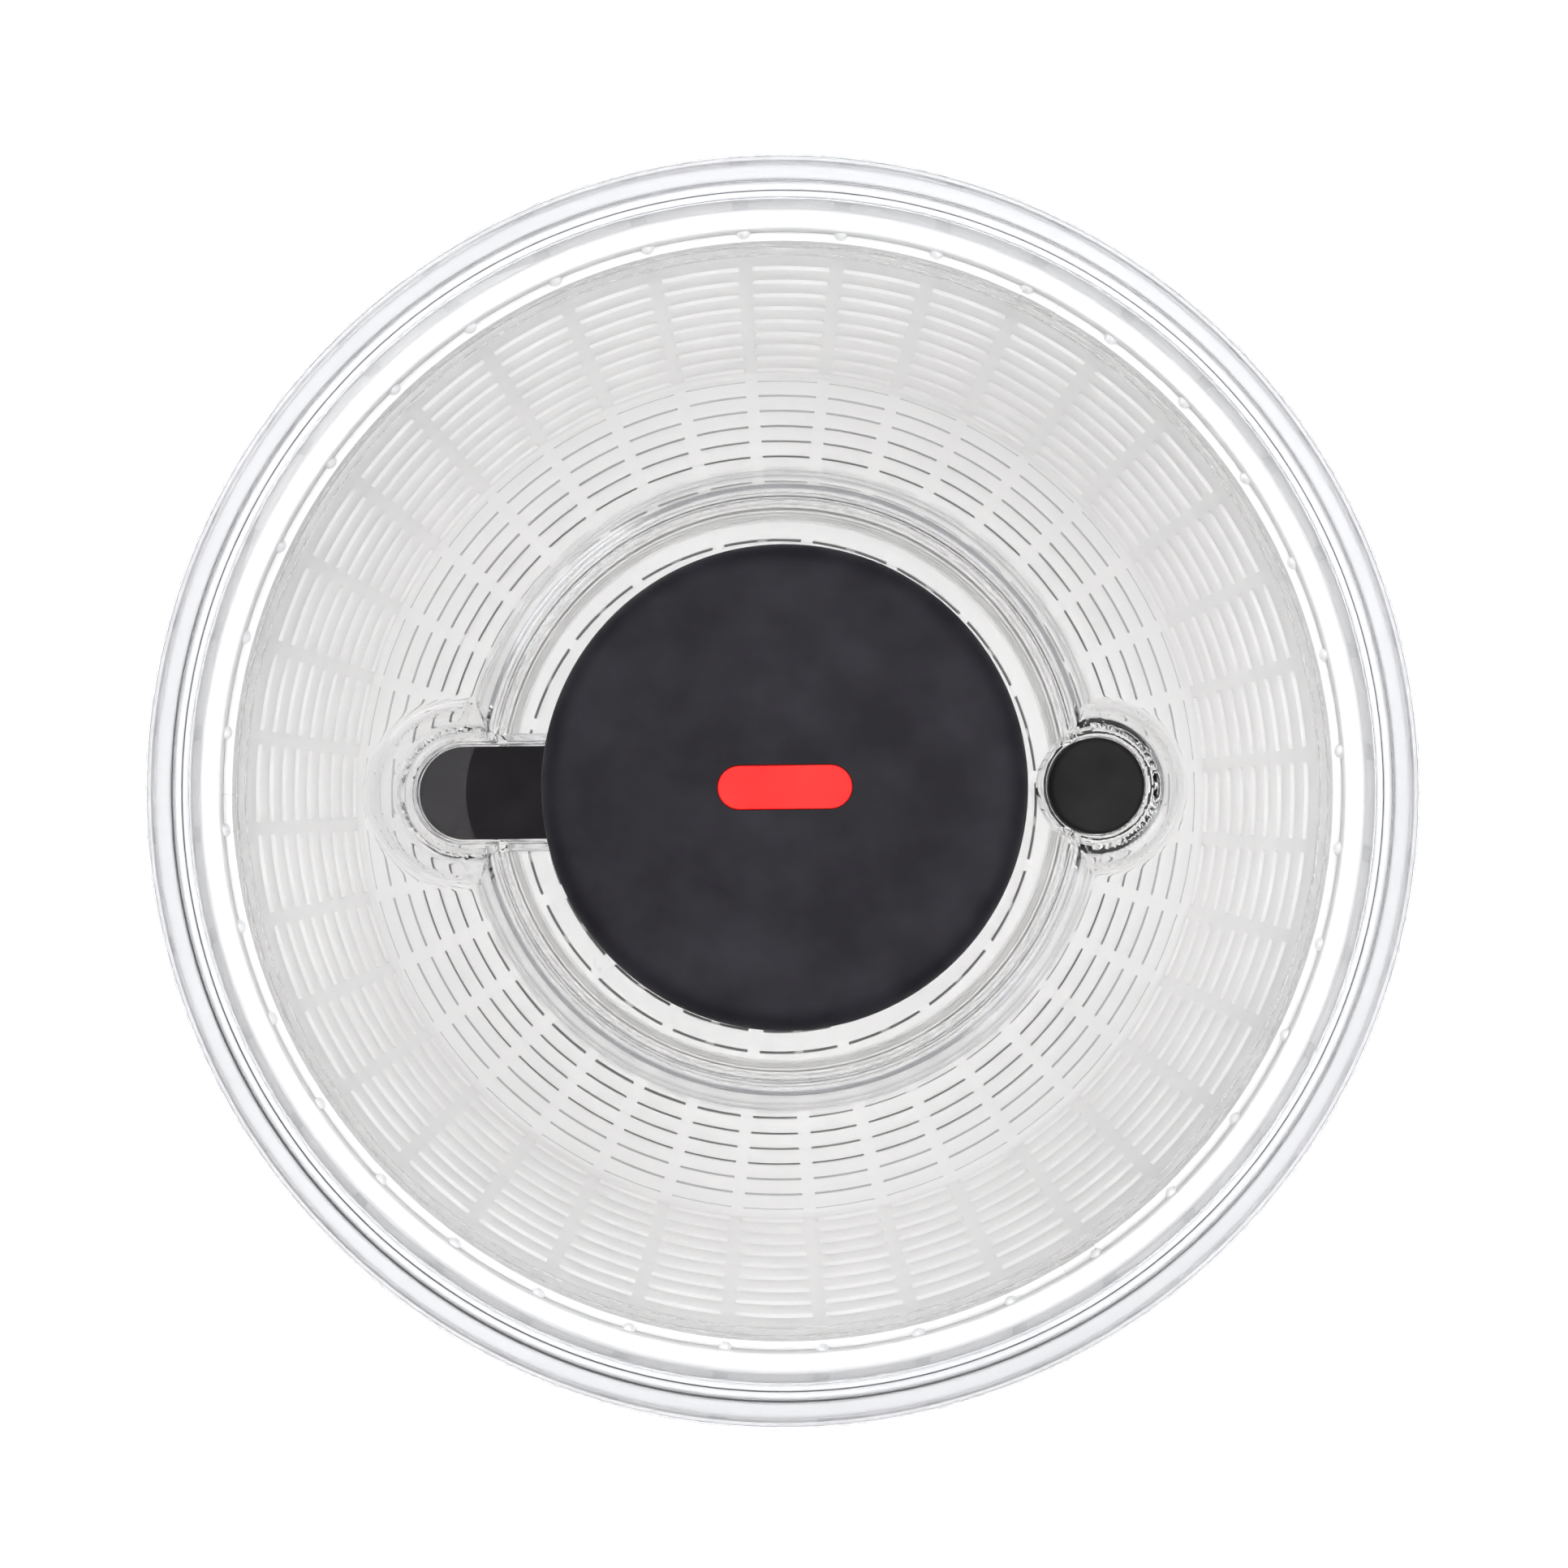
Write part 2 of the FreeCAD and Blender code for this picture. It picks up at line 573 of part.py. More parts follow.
# ---- Pump mechanism ----
def make_mechanism_housing():
    """Hat-shaped housing on the well floor, with a sleeve that guides the knob."""
    foot_z = WELL_FLOOR[0] + PLAY
    hat = revolve([
        (HAT_R[1], HAT_Z[0]),
        (HAT_R[3], HAT_Z[0]),
        (HAT_R[3], HAT_Z[1], 0.8),
        (HAT_R[2], HAT_Z[1]),
        (HAT_R[2], HAT_Z[3], 1.0),
        (SLEEVE_R[1], HAT_Z[3]),
        (SLEEVE_R[1], SLEEVE_TOP),
        (SLEEVE_R[0], SLEEVE_TOP),
        (SLEEVE_R[0], foot_z),
        (HAT_R[0], foot_z),
        (HAT_R[0], HAT_Z[2]),
        (HAT_R[1], HAT_Z[2]),
    ])
    hole = rod(1.5, HAT_Z[0] - 1.0, HAT_Z[1] + 1.0, HOUSING_SCREW_R)
    return hat.cut(Part.makeCompound(around(hole, HOUSING_SCREW_COUNT, HOUSING_SCREW_START)))


def make_housing_screws():
    """Three screws down through the housing's flange into the lid's bosses."""
    one = screw(HOUSING_SCREW_R, HAT_Z[1], False, WELL_FLOOR[0] - 2.0)
    return Part.makeCompound(around(one, HOUSING_SCREW_COUNT, HOUSING_SCREW_START))


def make_knob_guide_bush():
    """Flanged bush in the mouth of the housing's sleeve."""
    return revolve([
        (BUSH_R, BUSH_Z[0]),
        (SLEEVE_R[0] - EASE, BUSH_Z[0]),
        (SLEEVE_R[0] - EASE, SLEEVE_TOP),
        (SLEEVE_R[1], SLEEVE_TOP),
        (SLEEVE_R[1], BUSH_Z[1], 0.4),
        (BUSH_R, BUSH_Z[1], 0.3),
    ])


def coil(radius, wire, low, high, turns):
    """Compression spring between two heights, as short straight runs with a many-sided section."""
    rise = high - low - wire
    steps = turns * COIL_STEPS
    side_turn = 2 * math.pi / COIL_SIDES
    corner_r = wire / 2 * math.sqrt(side_turn / math.sin(side_turn))   # same area as the round wire
    tilt = math.degrees(math.atan2(rise / turns, 2 * math.pi * radius))
    sections = []
    for step in range(steps + 1):
        corners = [Vector(corner_r * math.cos(side * side_turn), 0, corner_r * math.sin(side * side_turn))
                   for side in range(COIL_SIDES)]
        section = Part.makePolygon(corners + corners[:1])
        section.rotate(ORIGIN, Vector(1, 0, 0), tilt)
        section.translate(Vector(radius, 0, low + wire / 2 + rise * step / steps))
        sections.append(turned(section, 360.0 * step / COIL_STEPS))
    return Part.makeLoft(sections, True, True)


def make_return_spring():
    return coil(SPRING_R, SPRING_WIRE, HAT_Z[3], CORE_PLATE_Z[0], SPRING_TURNS)


# ---- Knob ----
def make_knob_grip():
    """Round palm knob, hollow underneath, with a shallow recess for the badge."""
    low, high = KNOB_Z
    inner = KNOB_R - KNOB_WALL
    grip = revolve([
        (inner, low),
        (KNOB_R, low, 0.8),
        (KNOB_R, high, 6.0),
        (0, high),
        (0, high - KNOB_WALL),
        (inner, high - KNOB_WALL, 3.5),
    ])
    run = BADGE_HALF[0] - BADGE_HALF[1]
    return grip.cut(slot_solid(BADGE_HALF[1] + 0.1, -run, run, high - BADGE_DEEP, high + 1))


def make_knob_core():
    """Plate, hollow plunger with its stop flange, and the skirt that hides the spring."""
    low, high = CORE_PLATE_Z
    screw_r = 2.1
    plate_r = KNOB_R - 4.0
    stop_r, stop_low, stop_high = PLUNGER_STOP
    core = revolve([
        (screw_r, low),
        (PLUNGER_R[0], low),
        (PLUNGER_R[0], stop_low),
        (stop_r, stop_low),
        (stop_r, stop_high),
        (PLUNGER_R[1], stop_high),
        (PLUNGER_R[1], low),
        (SKIRT_R[0], low),
        (SKIRT_R[0], SKIRT_LOW),
        (SKIRT_R[1], SKIRT_LOW),
        (SKIRT_R[1], low),
        (plate_r, low, 0.5),
        (plate_r, high),
        (screw_r, high),
    ])
    window_z = TONGUE_Z[0] - PLAY + KNOB_STROKE
    window_half = TONGUE_HALF + 1.2
    window = box((-SKIRT_R[1] - 3, -SKIRT_R[0] + 4), (-window_half, window_half),
                 (window_z, window_z + TONGUE_Z[1] - TONGUE_Z[0] + 3 * PLAY))
    return core.cut(window)


def make_knob_badge():
    """Plain stadium inlay in the top of the knob."""
    run = BADGE_HALF[0] - BADGE_HALF[1]
    badge = slot_solid(BADGE_HALF[1], -run, run, KNOB_Z[1] - BADGE_DEEP, KNOB_Z[1] + 0.2)
    rim = [edge for edge in badge.Edges if edge.BoundBox.ZMin > KNOB_Z[1] + 0.1]
    return badge.makeFillet(0.35, rim)


def make_spindle_screw():
    """Screw down through the core's plate into the spindle."""
    return screw(0.0, CORE_PLATE_Z[1], False, SPINDLE_Z[1] - 9.5, 3.6, 1.85)


# ---- Brake ----
def at_button(shape):
    """Moves a piece made about Z to the button's axis."""
    shape.translate(Vector(BUTTON_X, 0, 0))
    return shape


def make_brake_button():
    """Hollow cap on a stem, grooved for its clip and ending in the pin that carries the pad."""
    skirt_low, room_top, crown = CAP_Z
    groove_r, groove_low, groove_high = BRAKE_GROOVE
    return at_button(revolve([
        (0, BRAKE_PAD_LOW - 0.1),
        (BRAKE_PIN_R, BRAKE_PAD_LOW - 0.1),
        (BRAKE_PIN_R, BRAKE_STEM_LOW),
        (BRAKE_STEM_R, BRAKE_STEM_LOW),
        (BRAKE_STEM_R, groove_low),
        (groove_r, groove_low),
        (groove_r, groove_high),
        (BRAKE_STEM_R, groove_high),
        (BRAKE_STEM_R, room_top),
        (CAP_R[0], room_top),
        (CAP_R[0], skirt_low),
        (CAP_R[1], skirt_low),
        (CAP_R[1], crown, 1.4),
        (0, crown),
    ]))


def make_brake_clip():
    """Open retaining clip under the tube's floor."""
    groove_r, groove_low, groove_high = BRAKE_GROOVE
    clip = ring(groove_r + EASE, BRAKE_CLIP_R, groove_low + EASE, groove_high - EASE)
    mouth = box((0, BRAKE_CLIP_R + 1), (-1.2, 1.2), (groove_low - 1, groove_high + 1))
    return at_button(clip.cut(mouth))


def make_brake_pad():
    """Soft pad that rubs on the disc."""
    return at_button(revolve([
        (BRAKE_PIN_R, BRAKE_PAD_LOW),
        (BRAKE_PAD_R, BRAKE_PAD_LOW, 0.3),
        (BRAKE_PAD_R, BRAKE_STEM_LOW),
        (BRAKE_PIN_R, BRAKE_STEM_LOW),
    ]))


def make_brake_spring():
    """Light spring between the tube's floor and the cap."""
    radius, wire, turns = BRAKE_SPRING
    return at_button(coil(radius, wire, TUBE_Z[1], CAP_Z[1], turns))


# ---- Lock ----
def make_lock_lever():
    """Sliding lever with a finger ridge between two dishes, a locking tongue and a stem."""
    low = TROUGH_FLOOR[1] + PLAY
    body = slot_solid(LEVER_HALF, LEVER_END_X, LEVER_INNER_X + 10.0, low, LEVER_TOP)
    body = body.cut(box((LEVER_INNER_X, 0.0), (-15, 15), (low - BEYOND, LEVER_TOP + BEYOND)))
    drop = DISH_SPHERE_R - math.sqrt(DISH_SPHERE_R ** 2 - DISH_R ** 2)
    for side in (-1, 1):
        middle = Vector(LEVER_RIDGE_X + side * (DISH_R + DISH_GAP), 0, LEVER_TOP + DISH_SPHERE_R - drop)
        body = body.cut(Part.makeSphere(DISH_SPHERE_R, middle))
    tongue = box(TONGUE_X, (-TONGUE_HALF, TONGUE_HALF), TONGUE_Z)
    stem = rod(LOCK_STEM_R, LOCK_STEM_LOW, low + 1.0, LOCK_STEM_X)
    groove = ring(LOCK_GROOVE[0], LOCK_STEM_R + 0.6, LOCK_GROOVE[1], LOCK_GROOVE[2])
    groove.translate(Vector(LOCK_STEM_X, 0, 0))
    return united(body, [tongue, stem]).cut(groove)


def make_lock_clip():
    """Open clip that keeps the lever on its channel."""
    groove_r, groove_low, groove_high = LOCK_GROOVE
    clip = ring(groove_r + EASE, LOCK_CLIP_R, groove_low + EASE, groove_high - EASE)
    clip = clip.cut(box((0, LOCK_CLIP_R + 1), (-1.2, 1.2), (groove_low - 1, groove_high + 1)))
    clip.translate(Vector(LOCK_STEM_X, 0, 0))
    return clip


# ---- Bearings and small rings ----
def make_thrust_washer():
    return ring(HUB_R + 0.1, 22.0, PLATE_Z[1] + EASE, 126.3, 0.3)


def make_hub_bearing():
    """Plain bearing pressed into the well floor."""
    bore = HUB_R + 0.08
    return revolve([
        (bore, 126.4),
        (WELL_HOLE_R + 3.0, 126.4, 0.3),
        (WELL_HOLE_R + 3.0, WELL_FLOOR[0]),
        (WELL_HOLE_R - EASE, WELL_FLOOR[0]),
        (WELL_HOLE_R - EASE, WELL_FLOOR[1]),
        (bore, WELL_FLOOR[1]),
    ])


def make_hub_retaining_ring():
    """Open ring in the hub's groove."""
    clip = ring(HUB_R - 1.0 + EASE, 19.4, HUB_GROOVE_Z[0] + EASE, HUB_GROOVE_Z[1] - EASE)
    return clip.cut(box((0, 22), (-1.5, 1.5), (HUB_GROOVE_Z[0] - 1, HUB_GROOVE_Z[1] + 1)))


PARTS = {
    "bowl": make_bowl,
    "bowl_base_ring": make_bowl_base_ring,
    "basket": make_basket,
    "lid_cover": make_lid_cover,
    "drive_disc": make_drive_disc,
    "drive_hub": make_drive_hub,
    "disc_screws": make_disc_screws,
    "thrust_washer": make_thrust_washer,
    "hub_bearing": make_hub_bearing,
    "hub_retaining_ring": make_hub_retaining_ring,
    "drive_nut": make_drive_nut,
    "nut_washer": make_nut_washer,
    "mechanism_housing": make_mechanism_housing,
    "housing_screws": make_housing_screws,
    "knob_guide_bush": make_knob_guide_bush,
    "return_spring": make_return_spring,
    "knob_grip": make_knob_grip,
    "knob_core": make_knob_core,
    "knob_badge": make_knob_badge,
    "spiral_spindle": make_spiral_spindle,
    "spindle_screw": make_spindle_screw,
    "brake_button": make_brake_button,
    "brake_spring": make_brake_spring,
    "brake_clip": make_brake_clip,
    "brake_pad": make_brake_pad,
    "lock_lever": make_lock_lever,
    "lock_clip": make_lock_clip,
}

os.makedirs("parts", exist_ok=True)
for name, make in PARTS.items():
    shape = make()
    print(name, "solids", len(shape.Solids), "valid", shape.isValid(), "volume", round(shape.Volume))
    shape.exportStep("parts/" + name + ".step")
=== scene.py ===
import math

import bmesh
import bpy
import numpy as np
from mathutils import Matrix, Vector


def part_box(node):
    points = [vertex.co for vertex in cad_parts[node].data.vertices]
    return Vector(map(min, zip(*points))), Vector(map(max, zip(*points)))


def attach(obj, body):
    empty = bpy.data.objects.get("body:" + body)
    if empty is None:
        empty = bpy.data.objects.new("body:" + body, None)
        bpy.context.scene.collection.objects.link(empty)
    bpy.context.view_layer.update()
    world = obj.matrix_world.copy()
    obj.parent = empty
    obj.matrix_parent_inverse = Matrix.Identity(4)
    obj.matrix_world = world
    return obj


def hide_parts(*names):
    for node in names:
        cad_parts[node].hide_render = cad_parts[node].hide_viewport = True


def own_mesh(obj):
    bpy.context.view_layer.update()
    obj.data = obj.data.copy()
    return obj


# Looks of the salad spinner. Shapes here are written in millimetres in the frame's own axes and are
# scaled to metres as each mesh is made: +X to the brake button, -X to the lock lever, +Z up.

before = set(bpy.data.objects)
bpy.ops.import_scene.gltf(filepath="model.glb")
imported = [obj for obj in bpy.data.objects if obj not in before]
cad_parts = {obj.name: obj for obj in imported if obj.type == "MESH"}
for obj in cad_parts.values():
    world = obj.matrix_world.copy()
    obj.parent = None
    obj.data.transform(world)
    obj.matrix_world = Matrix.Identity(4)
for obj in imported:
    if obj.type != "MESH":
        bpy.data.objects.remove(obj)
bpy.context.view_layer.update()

MM = 0.001


def node_box(name):
    """Lowest and highest corner of a frame node, in millimetres."""
    low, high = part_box(name)
    return [value / MM for value in low], [value / MM for value in high]


# ---- Sizes read from the frame ----
BUTTON_LOW, BUTTON_HIGH = node_box("brake_button")
LID_R = node_box("lid_cover")[1][0]
BOWL_TOP = node_box("bowl")[1][2]
BUTTON_X = (BUTTON_LOW[0] + BUTTON_HIGH[0]) / 2

# ---- Sizes shared by several pieces ----
BOWL_IN_R = 125.9
BOWL_TAPER = 0.1192
BOWL_WALL = 2.2
BOWL_FLOOR = (4.0, 6.5)
BOWL_LIP_R = 131.0
BOWL_LIP_HIGH = 2.5
FOOT_R = (86.0, 88.0)
FOOT_Z = 2.1
PIVOT_TOP = 22.0
LAND_Z = 169.0
DOME_EDGE = (124.0, 152.5)
DOME_TOP = (66.0, 160.0)
WELL_R = (57.8, 58.5)
WELL_FLOOR = (128.0, 130.0)
WELL_HOLE_R = 20.0
WELL_UNDER = (60.1, 166.2)    # where the well's outside meets the underside of the land
SKIN = 2.0
RIM_TOP = 155.0
RIM_LOW = 147.0
RIM_IN_R = 131.45
RIM_SEAT_Z = 150.3
SPIGOT_R = (123.2, 125.0)
SPIGOT_LOW = 146.0
TROUGH_HALF = 9.95
TROUGH_FLOOR = (155.5, 157.5)
TROUGH_TOP = 168.3
TROUGH_INNER_X = -34.0
LEVER_END_X = -65.3
LEVER_STEM_X = (-48.0, -42.0)
LEVER_STEM_HALF = 2.8
TUBE_R = (10.15, 11.5)
TUBE_Z = (152.0, 169.0)
BUTTON_STEM_HOLE_R = 3.05
DISC_TOP = 146.4
DISC_R = 114.8
DISC_EDGE_LOW = 139.0
NECK_R = (60.3, 62.1)
PLATE_Z = (122.0, 124.0)
PLATE_HOLE_R = 17.1
LUG_COUNT = 3
LUG_BEARING = 181.7
LUG_TIP_R = 121.0
LUG_HALF = 4.0
LUG_LEVELS = ((143.4, 0.4), (143.7, 0.0), (144.9, 0.0), (145.2, 0.4))    # height, chamfer
BASKET_IN_R = 117.6
BASKET_TOP = 144.0
BASKET_TAPER = 0.1352
BASKET_FLOOR = (17.0, 19.0)
BASKET_SKIN = 1.8
LIP_OUT_R = 122.0
LIP_Z = (141.5, 145.0)
CUP_OUT_R = 13.0
RIB_COUNT = 36
RIB_PITCH = 360.0 / RIB_COUNT
RIB_START = 3.4


# ---- Mesh helpers ----
def mesh_object(name, points, faces, body, sharp_degrees=35.0):
    """A smooth-shaded object from points in millimetres, with its creases kept sharp."""
    mesh = bpy.data.meshes.new(name)
    mesh.from_pydata([(p[0] * MM, p[1] * MM, p[2] * MM) for p in points], [], faces)
    piece = bpy.data.objects.new(name, mesh)
    bpy.context.scene.collection.objects.link(piece)
    tidy_mesh(mesh, sharp_degrees)
    if body:
        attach(piece, body)
    return piece


def tidy_mesh(mesh, sharp_degrees=35.0):
    """Outward normals, smooth faces and sharp creases."""
    work = bmesh.new()
    work.from_mesh(mesh)
    bmesh.ops.remove_doubles(work, verts=work.verts, dist=1e-6)
    bmesh.ops.recalc_face_normals(work, faces=work.faces)
    limit = math.radians(sharp_degrees)
    for face in work.faces:
        face.smooth = True
    for edge in work.edges:
        edge.smooth = not (len(edge.link_faces) == 2 and edge.calc_face_angle() > limit)
    work.to_mesh(mesh)
    work.free()


def rounded(corners, steps=7):
    """Points of a closed outline. A corner is (r, z) or (r, z, fillet radius)."""
    points = []
    places = [Vector((corner[0], corner[1])) for corner in corners]
    for number, corner in enumerate(corners):
        here = places[number]
        if len(corner) == 2:
            points.append(here)
            continue
        back = (places[number - 1] - here).normalized()
        onward = (places[(number + 1) % len(corners)] - here).normalized()
        half = back.angle(onward) / 2
        centre = here + (back + onward).normalized() * (corner[2] / math.sin(half))
        first = here + back * (corner[2] / math.tan(half)) - centre
        turn = math.pi - 2 * half
        sign = 1 if back.x * onward.y - back.y * onward.x < 0 else -1
        for step in range(steps + 1):
            angle = sign * turn * step / steps
            points.append(centre + Vector((
                first.x * math.cos(angle) - first.y * math.sin(angle),
                first.x * math.sin(angle) + first.y * math.cos(angle),
            )))
    return [(point.x, point.y) for point in points]


def spin(name, profile, body, steps=288, closed=True, sharp_degrees=35.0):
    """Surface of revolution about Z from (r, z) points."""
    points, rings = [], []
    for radius, z in profile:
        if radius < 1e-6:
            rings.append([len(points)] * steps)
            points.append((0.0, 0.0, z))
            continue
        rings.append(list(range(len(points), len(points) + steps)))
        for step in range(steps):
            angle = 2 * math.pi * step / steps
            points.append((radius * math.cos(angle), radius * math.sin(angle), z))
    faces = []
    spans = len(rings) if closed else len(rings) - 1
    for number in range(spans):
        near, far = rings[number], rings[(number + 1) % len(rings)]
        for step in range(steps):
            after = (step + 1) % steps
            corners = [near[step], near[after], far[after], far[step]]
            unique = list(dict.fromkeys(corners))
            if len(unique) > 2:
                faces.append(unique)
    return mesh_object(name, points, faces, body, sharp_degrees)


def stadium_loop(half, x_low, x_high, z, count=40):
    """Points round a stadium; the ends are round and centred at x_low and x_high."""
    loop = []
    for step in range(count):
        angle = math.pi / 2 + math.pi * (step + 0.5) / count
        loop.append((x_low + half * math.cos(angle), half * math.sin(angle), z))
    for step in range(count):
        angle = -math.pi / 2 + math.pi * (step + 0.5) / count
        loop.append((x_high + half * math.cos(angle), half * math.sin(angle), z))
    return loop


def stacked(loops):
    """Points and faces of a closed solid through equal loops, from the lowest to the highest."""
    points = [point for loop in loops for point in loop]
    count = len(loops[0])
    faces = [list(range(count))[::-1]]
    for level in range(len(loops) - 1):
        base = level * count
        for step in range(count):
            after = (step + 1) % count
            faces.append([base + step, base + after, base + count + after, base + count + step])
    top = (len(loops) - 1) * count
    faces.append(list(range(top, top + count)))
    return points, faces


def joined(shapes):
    """One list of points and faces from several."""
    points, faces = [], []
    for shape_points, shape_faces in shapes:
        base = len(points)
        points += shape_points
        faces += [[base + index for index in face] for face in shape_faces]
    return points, faces


def boolean(piece, tool, operation):
    """Applies one exact boolean and removes its tool."""
    modifier = piece.modifiers.new(operation, "BOOLEAN")
    modifier.object = tool
    modifier.operation = operation
    modifier.solver = "EXACT"
    evaluated = piece.evaluated_get(bpy.context.evaluated_depsgraph_get())
    result = bpy.data.meshes.new_from_object(evaluated)
    piece.modifiers.clear()
    old = piece.data
    piece.data = result
    bpy.data.meshes.remove(old)
    bpy.data.objects.remove(tool, do_unlink=True)


def smooth_max(a, b, width):
    """The larger of two heights, with a fillet between them."""
    mix = np.clip(width - np.abs(a - b), 0, None) / width
    return np.maximum(a, b) + mix * mix * width / 4


def smooth_min(a, b, width):
    """The smaller of two heights, with a fillet between them."""
    return -smooth_max(-a, -b, width)


# ---- Lid cover ----
LID_STEPS = 720
LID_MAX_DEPTH = 4.4           # greatest thickness along Z, on the steep flanks
LAND_IN_R = 59.4
POD_TOP_HALF = 12.1
POD_SLOPE = 1.373
BUTTON_POD_R = 12.0
BUTTON_POD_SLOPE = 1.82
FLANK_SLOPE = 1.957
FLANK_TOP_R = 60.9


def dome_height(radius):
    """Top of the lid with no pods: land, turret flank and a gently arched dome."""
    along = (radius - DOME_TOP[0]) / (DOME_EDGE[0] - DOME_TOP[0])
    dome = DOME_TOP[1] + (DOME_EDGE[1] - DOME_TOP[1]) * along + 3.2 * along * (1 - along)
    flank = LAND_Z - (radius - FLANK_TOP_R) * FLANK_SLOPE
    return smooth_max(smooth_min(np.full_like(radius, LAND_Z), flank, 0.9), dome, 1.6)


def top_height(radius, angle):
    """Top of the lid, pods included."""
    x, y = radius * np.cos(angle), radius * np.sin(angle)
    lever = np.hypot(np.clip(LEVER_END_X - x, 0, None), y)
    lever_pod = smooth_min(
        np.full_like(x, TROUGH_TOP), TROUGH_TOP - (lever - POD_TOP_HALF) * POD_SLOPE, 1.0)
    lever_pod = np.where(x < 0, lever_pod, 0)
    button = np.hypot(x - BUTTON_X, y)
    button_pod = smooth_min(
        np.full_like(x, LAND_Z), LAND_Z - (button - BUTTON_POD_R) * BUTTON_POD_SLOPE, 1.0)
    height = smooth_max(dome_height(radius), lever_pod, 1.4)
    return smooth_max(height, button_pod, 1.4)


def build_lid():
    """Clear lid as one closed shell: fine polar grids joined through the rim and the well."""
    steps = LID_STEPS
    angles = np.linspace(0, 2 * np.pi, steps, endpoint=False)
    radii = np.concatenate([
        np.arange(LAND_IN_R, 67.0, 0.4), np.arange(67.0, 90.0, 0.7),
        np.linspace(90.0, DOME_EDGE[0] - 1.2, 18)])
    grid_r, grid_a = np.meshgrid(radii, angles, indexing="ij")
    top = top_height(grid_r, grid_a)
    slope_r = np.gradient(top, radii, axis=0)
    slope_a = (np.roll(top, -1, 1) - np.roll(top, 1, 1)) / (2 * (angles[1] - angles[0])) / grid_r
    depth = SKIN * np.sqrt(1 + slope_r ** 2 + slope_a ** 2)
    under = top - np.minimum(depth, LID_MAX_DEPTH)
    inner_rows = radii > 60.7

    rim = rounded([
        DOME_EDGE + (2.5,), (126.2, RIM_TOP, 1.8), (LID_R, RIM_TOP, 3.6), (LID_R, RIM_LOW, 0.5),
        (RIM_IN_R, RIM_LOW, 0.3), (RIM_IN_R, RIM_SEAT_Z, 0.6), (SPIGOT_R[1], RIM_SEAT_Z, 0.6),
        (SPIGOT_R[1], SPIGOT_LOW, 0.5), (SPIGOT_R[0], SPIGOT_LOW, 0.5),
        (DOME_EDGE[0] - 0.8, DOME_EDGE[1] - SKIN, 1.0),
    ], 6)
    well = rounded([
        WELL_UNDER, (WELL_R[0] + 1.8, WELL_FLOOR[0], 1.0), (WELL_HOLE_R, WELL_FLOOR[0], 0.3),
        (WELL_HOLE_R, WELL_FLOOR[1], 0.3), (WELL_R[0], WELL_FLOOR[1], 0.6),
        (WELL_R[1], LAND_Z, 0.8),
    ], 6)
    sections = [(grid_r[row], top[row]) for row in range(len(radii))]
    sections += [(np.full(steps, r), np.full(steps, z)) for r, z in rim]
    sections += [
        (grid_r[row], under[row]) for row in range(len(radii) - 1, -1, -1) if inner_rows[row]]
    sections += [(np.full(steps, r), np.full(steps, z)) for r, z in well]
    points = [
        (r * math.cos(a), r * math.sin(a), z)
        for radius, height in sections for r, z, a in zip(radius, height, angles)
    ]
    faces = []
    for row in range(len(sections)):
        base, following = row * steps, (row + 1) % len(sections) * steps
        for step in range(steps):
            after = (step + 1) % steps
            faces.append([base + step, base + after, following + after, following + step])
    lid = mesh_object("lid_shell", points, faces, None)

    block = [stadium_loop(POD_TOP_HALF - 0.05 + grow, LEVER_END_X, -20.0, z) for z, grow in (
        (TROUGH_FLOOR[0], -0.6), (TROUGH_FLOOR[0] + 0.2, -0.2), (TROUGH_FLOOR[0] + 0.6, 0.0),
        (TROUGH_TOP - 0.6, 0.0), (TROUGH_TOP - 0.2, -0.2), (TROUGH_TOP, -0.6))]
    block = [[(min(x, TROUGH_INNER_X), y, z) for x, y, z in loop] for loop in block]
    tube = [stadium_loop(TUBE_R[1] + grow, BUTTON_X, BUTTON_X, z) for z, grow in (
        (TUBE_Z[0], -0.5), (TUBE_Z[0] + 0.5, 0.0), (TUBE_Z[1] - 0.4, 0.0), (TUBE_Z[1], -0.4))]
    added = mesh_object("lid_added", *joined([stacked(block), stacked(tube)]), None)
    boolean(lid, added, "UNION")

    channel = [stadium_loop(TROUGH_HALF + grow, LEVER_END_X, -18.0, z) for z, grow in (
        (TROUGH_FLOOR[1], -0.8), (TROUGH_FLOOR[1] + 0.25, -0.25), (TROUGH_FLOOR[1] + 0.8, 0.0),
        (TROUGH_TOP - 0.8, 0.0), (TROUGH_TOP - 0.4, 0.08), (TROUGH_TOP - 0.12, 0.35),
        (TROUGH_TOP, 0.8), (LAND_Z + 6.0, 1.0))]
    bore = [stadium_loop(TUBE_R[0] + grow, BUTTON_X, BUTTON_X, z) for z, grow in (
        (TUBE_Z[0] + 1.5, -0.5), (TUBE_Z[0] + 2.0, 0.0), (LAND_Z - 0.6, 0.0), (LAND_Z - 0.2, 0.15),
        (LAND_Z, 0.6), (LAND_Z + 6.0, 0.7))]
    stem_slot = [stadium_loop(LEVER_STEM_HALF, *LEVER_STEM_X, z)
                 for z in (TROUGH_FLOOR[0] - 1, TROUGH_FLOOR[1] + 0.5)]
    stem_hole = [stadium_loop(BUTTON_STEM_HOLE_R, BUTTON_X, BUTTON_X, z)
                 for z in (TUBE_Z[0] - 1, TUBE_Z[0] + 2)]
    removed = mesh_object("lid_removed", *joined([stacked(channel), stacked(bore)]), None)
    boolean(lid, removed, "DIFFERENCE")
    drilled = mesh_object("lid_drilled", *joined([stacked(stem_slot), stacked(stem_hole)]), None)
    boolean(lid, drilled, "DIFFERENCE")
    tidy_mesh(lid.data)
    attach(lid, "lid")
    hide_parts("lid_cover")
    return lid


